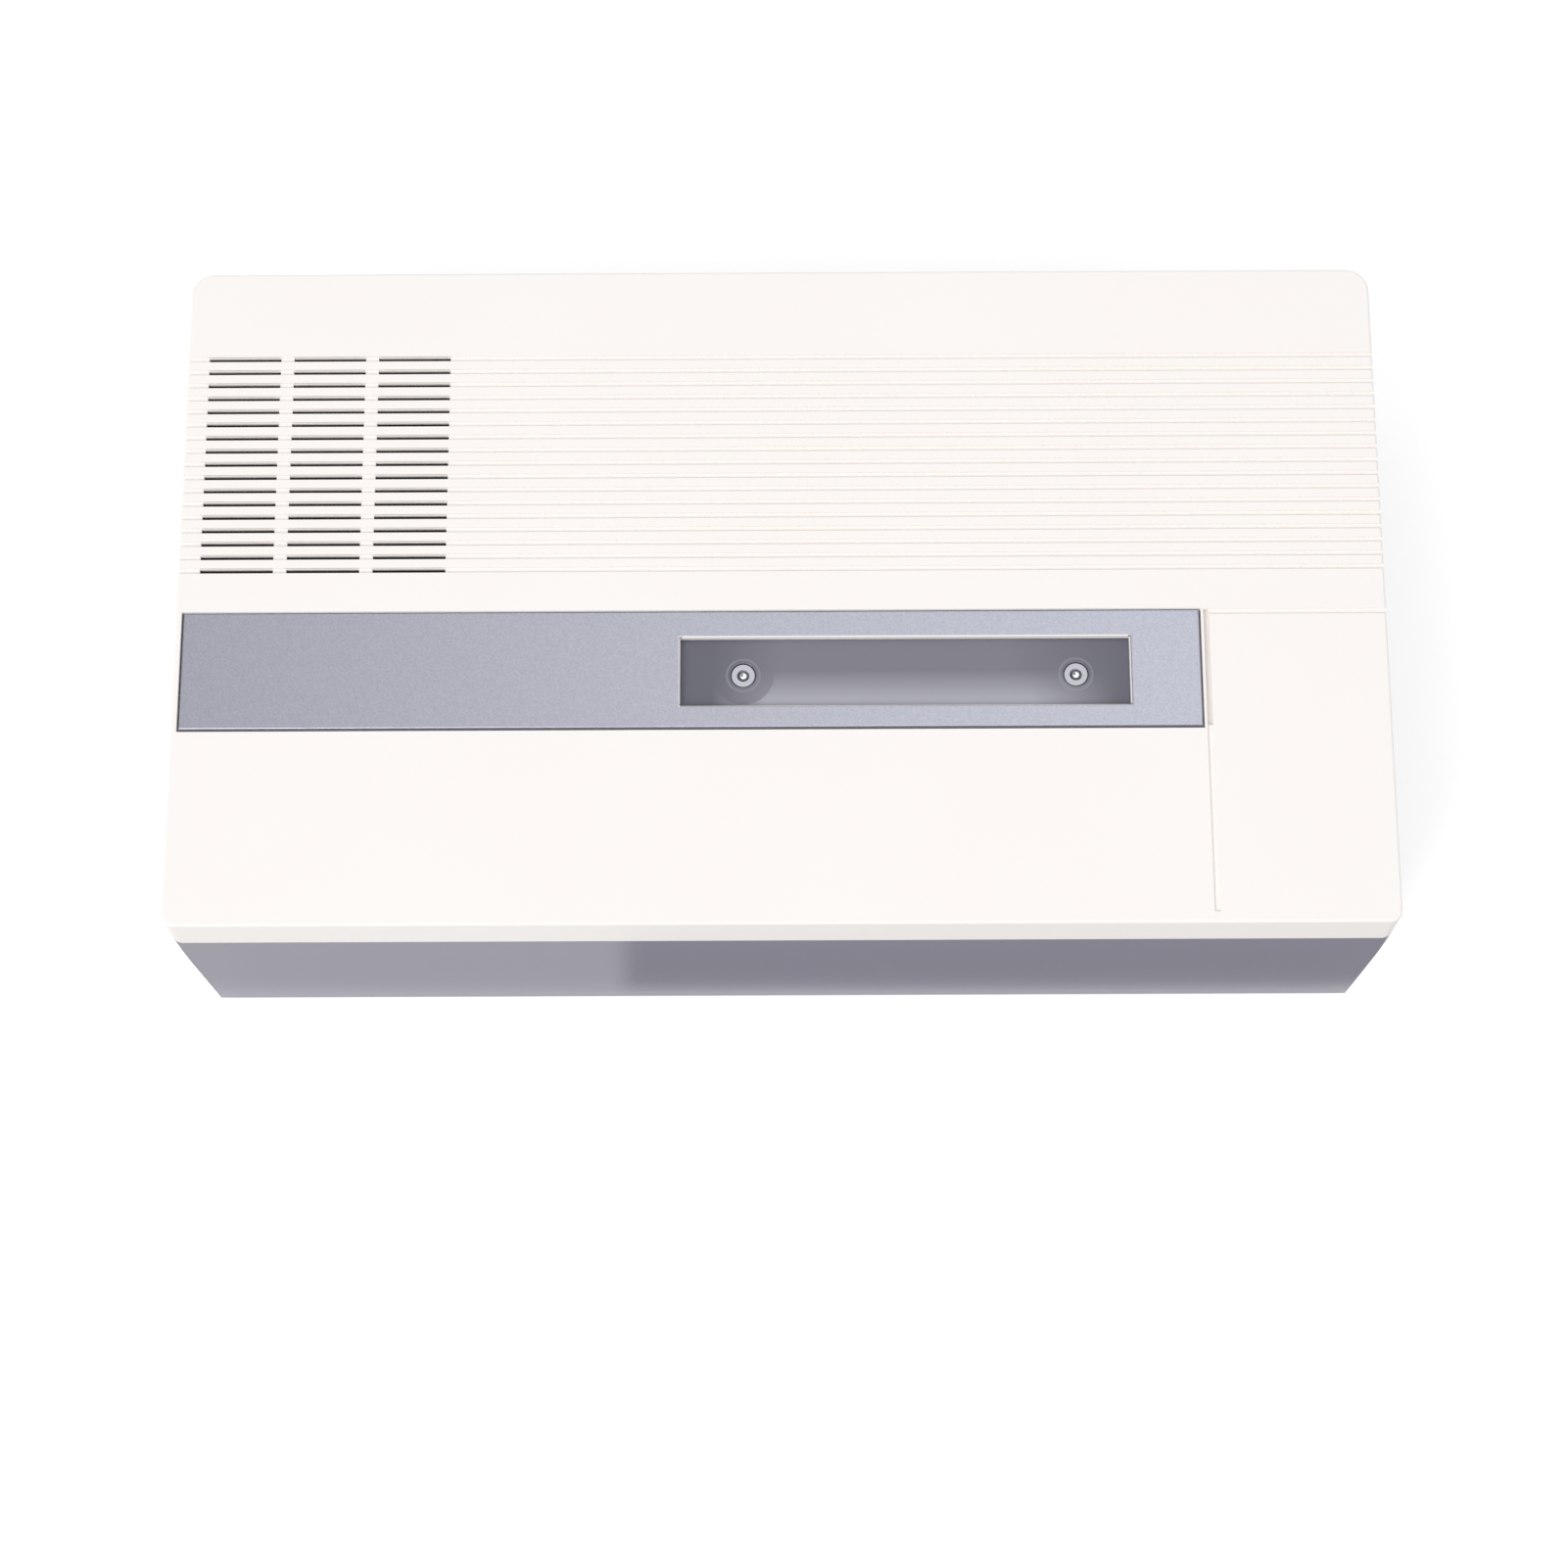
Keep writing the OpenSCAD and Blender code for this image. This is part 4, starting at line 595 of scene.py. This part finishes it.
# The white surroundings: even for the light that falls on the player and for the camera. In
# reflections they brighten from left to right, with a second bright side at the far left. A turn
# is given by the x of two directions.
SKY_LIGHT = 0.7
SKY_TURN = (-0.22, -0.01)
SKY_LEVELS = (0.2, 1.33)
LEFT_TURN = (-0.5, -0.8)
LEFT_LEVEL = 0.9
world = bpy.data.worlds.new("white surroundings")
world.use_nodes = True
bpy.context.scene.world = world
sky = world.node_tree.nodes["Background"]
sky.inputs["Color"].default_value = (1, 1, 1, 1)
sky_rays = add(world, "LightPath", {})
towards = add(world, "SeparateXYZ", {"Vector": add(world, "TexCoord", {}).outputs["Generated"]})
mirrored_sky = add(world, "MapRange", {"Value": towards.outputs["X"], "From Min": SKY_TURN[0],
                                       "From Max": SKY_TURN[1], "To Min": SKY_LEVELS[0],
                                       "To Max": SKY_LEVELS[1]})
left_sky = add(world, "MapRange", {"Value": towards.outputs["X"], "From Min": LEFT_TURN[0],
                                   "From Max": LEFT_TURN[1], "To Max": LEFT_LEVEL})
whole_sky = add(world, "Math", {0: mirrored_sky.outputs[0], 1: left_sky.outputs[0]}, operation="MAXIMUM")
diffuse_sky = add(world, "MixRGB", {0: sky_rays.outputs["Is Glossy Ray"],
                                    1: (SKY_LIGHT, SKY_LIGHT, SKY_LIGHT, 1), 2: whole_sky.outputs[0]})
sky_level = add(world, "MixRGB", {0: sky_rays.outputs["Is Camera Ray"], 1: diffuse_sky.outputs[0],
                                  2: (1, 1, 1, 1)})
join(world, sky_level.outputs[0], sky.inputs["Strength"])

# One broad soft lamp above the front left, a square panel that points at the player. Its side and
# its place are in metres.
LAMP_SIDE = 0.8
LAMP_POWER = 19
LAMP_PLACE = (-0.85, -1.08, 1.6)
lamp_data = bpy.data.lights.new("soft lamp", "AREA")
lamp_data.shape = "RECTANGLE"
lamp_data.size = LAMP_SIDE
lamp_data.size_y = LAMP_SIDE
lamp_data.energy = LAMP_POWER
lamp = bpy.data.objects.new("soft lamp", lamp_data)
lamp.location = LAMP_PLACE
lamp.rotation_euler = (Vector((0, 0, 0)) - lamp.location).to_track_quat("-Z", "Y").to_euler()
bpy.context.scene.collection.objects.link(lamp)

# The camera in front of the player, looking steeply down, on a stand that leans a little. Its
# place is in millimetres and its angles are in degrees.
CAMERA_PLACE = (1.66, -158.9, 471.0)
LOOK_DOWN = 73.14
LOOK_ASIDE = -0.57
ROLL = -0.789
LENS = 81.65
SENSOR = 36
camera_data = bpy.data.cameras.new("camera")
camera_data.lens = LENS
camera_data.sensor_width = SENSOR
camera = bpy.data.objects.new("camera", camera_data)
down, aside, roll = radians(LOOK_DOWN), radians(LOOK_ASIDE), radians(ROLL)
forward = Vector((sin(aside) * cos(down), cos(aside) * cos(down), -sin(down)))
level = Vector((cos(aside), -sin(aside), 0))
upward = level.cross(forward)
right = level * cos(roll) + upward * sin(roll)
top = upward * cos(roll) - level * sin(roll)
turn = Matrix((right, top, -forward)).transposed()
camera.matrix_world = Matrix.Translation(Vector(CAMERA_PLACE) * MM) @ turn.to_4x4()
bpy.context.scene.collection.objects.link(camera)
bpy.context.scene.camera = camera
bpy.context.scene.view_settings.view_transform = "Standard"
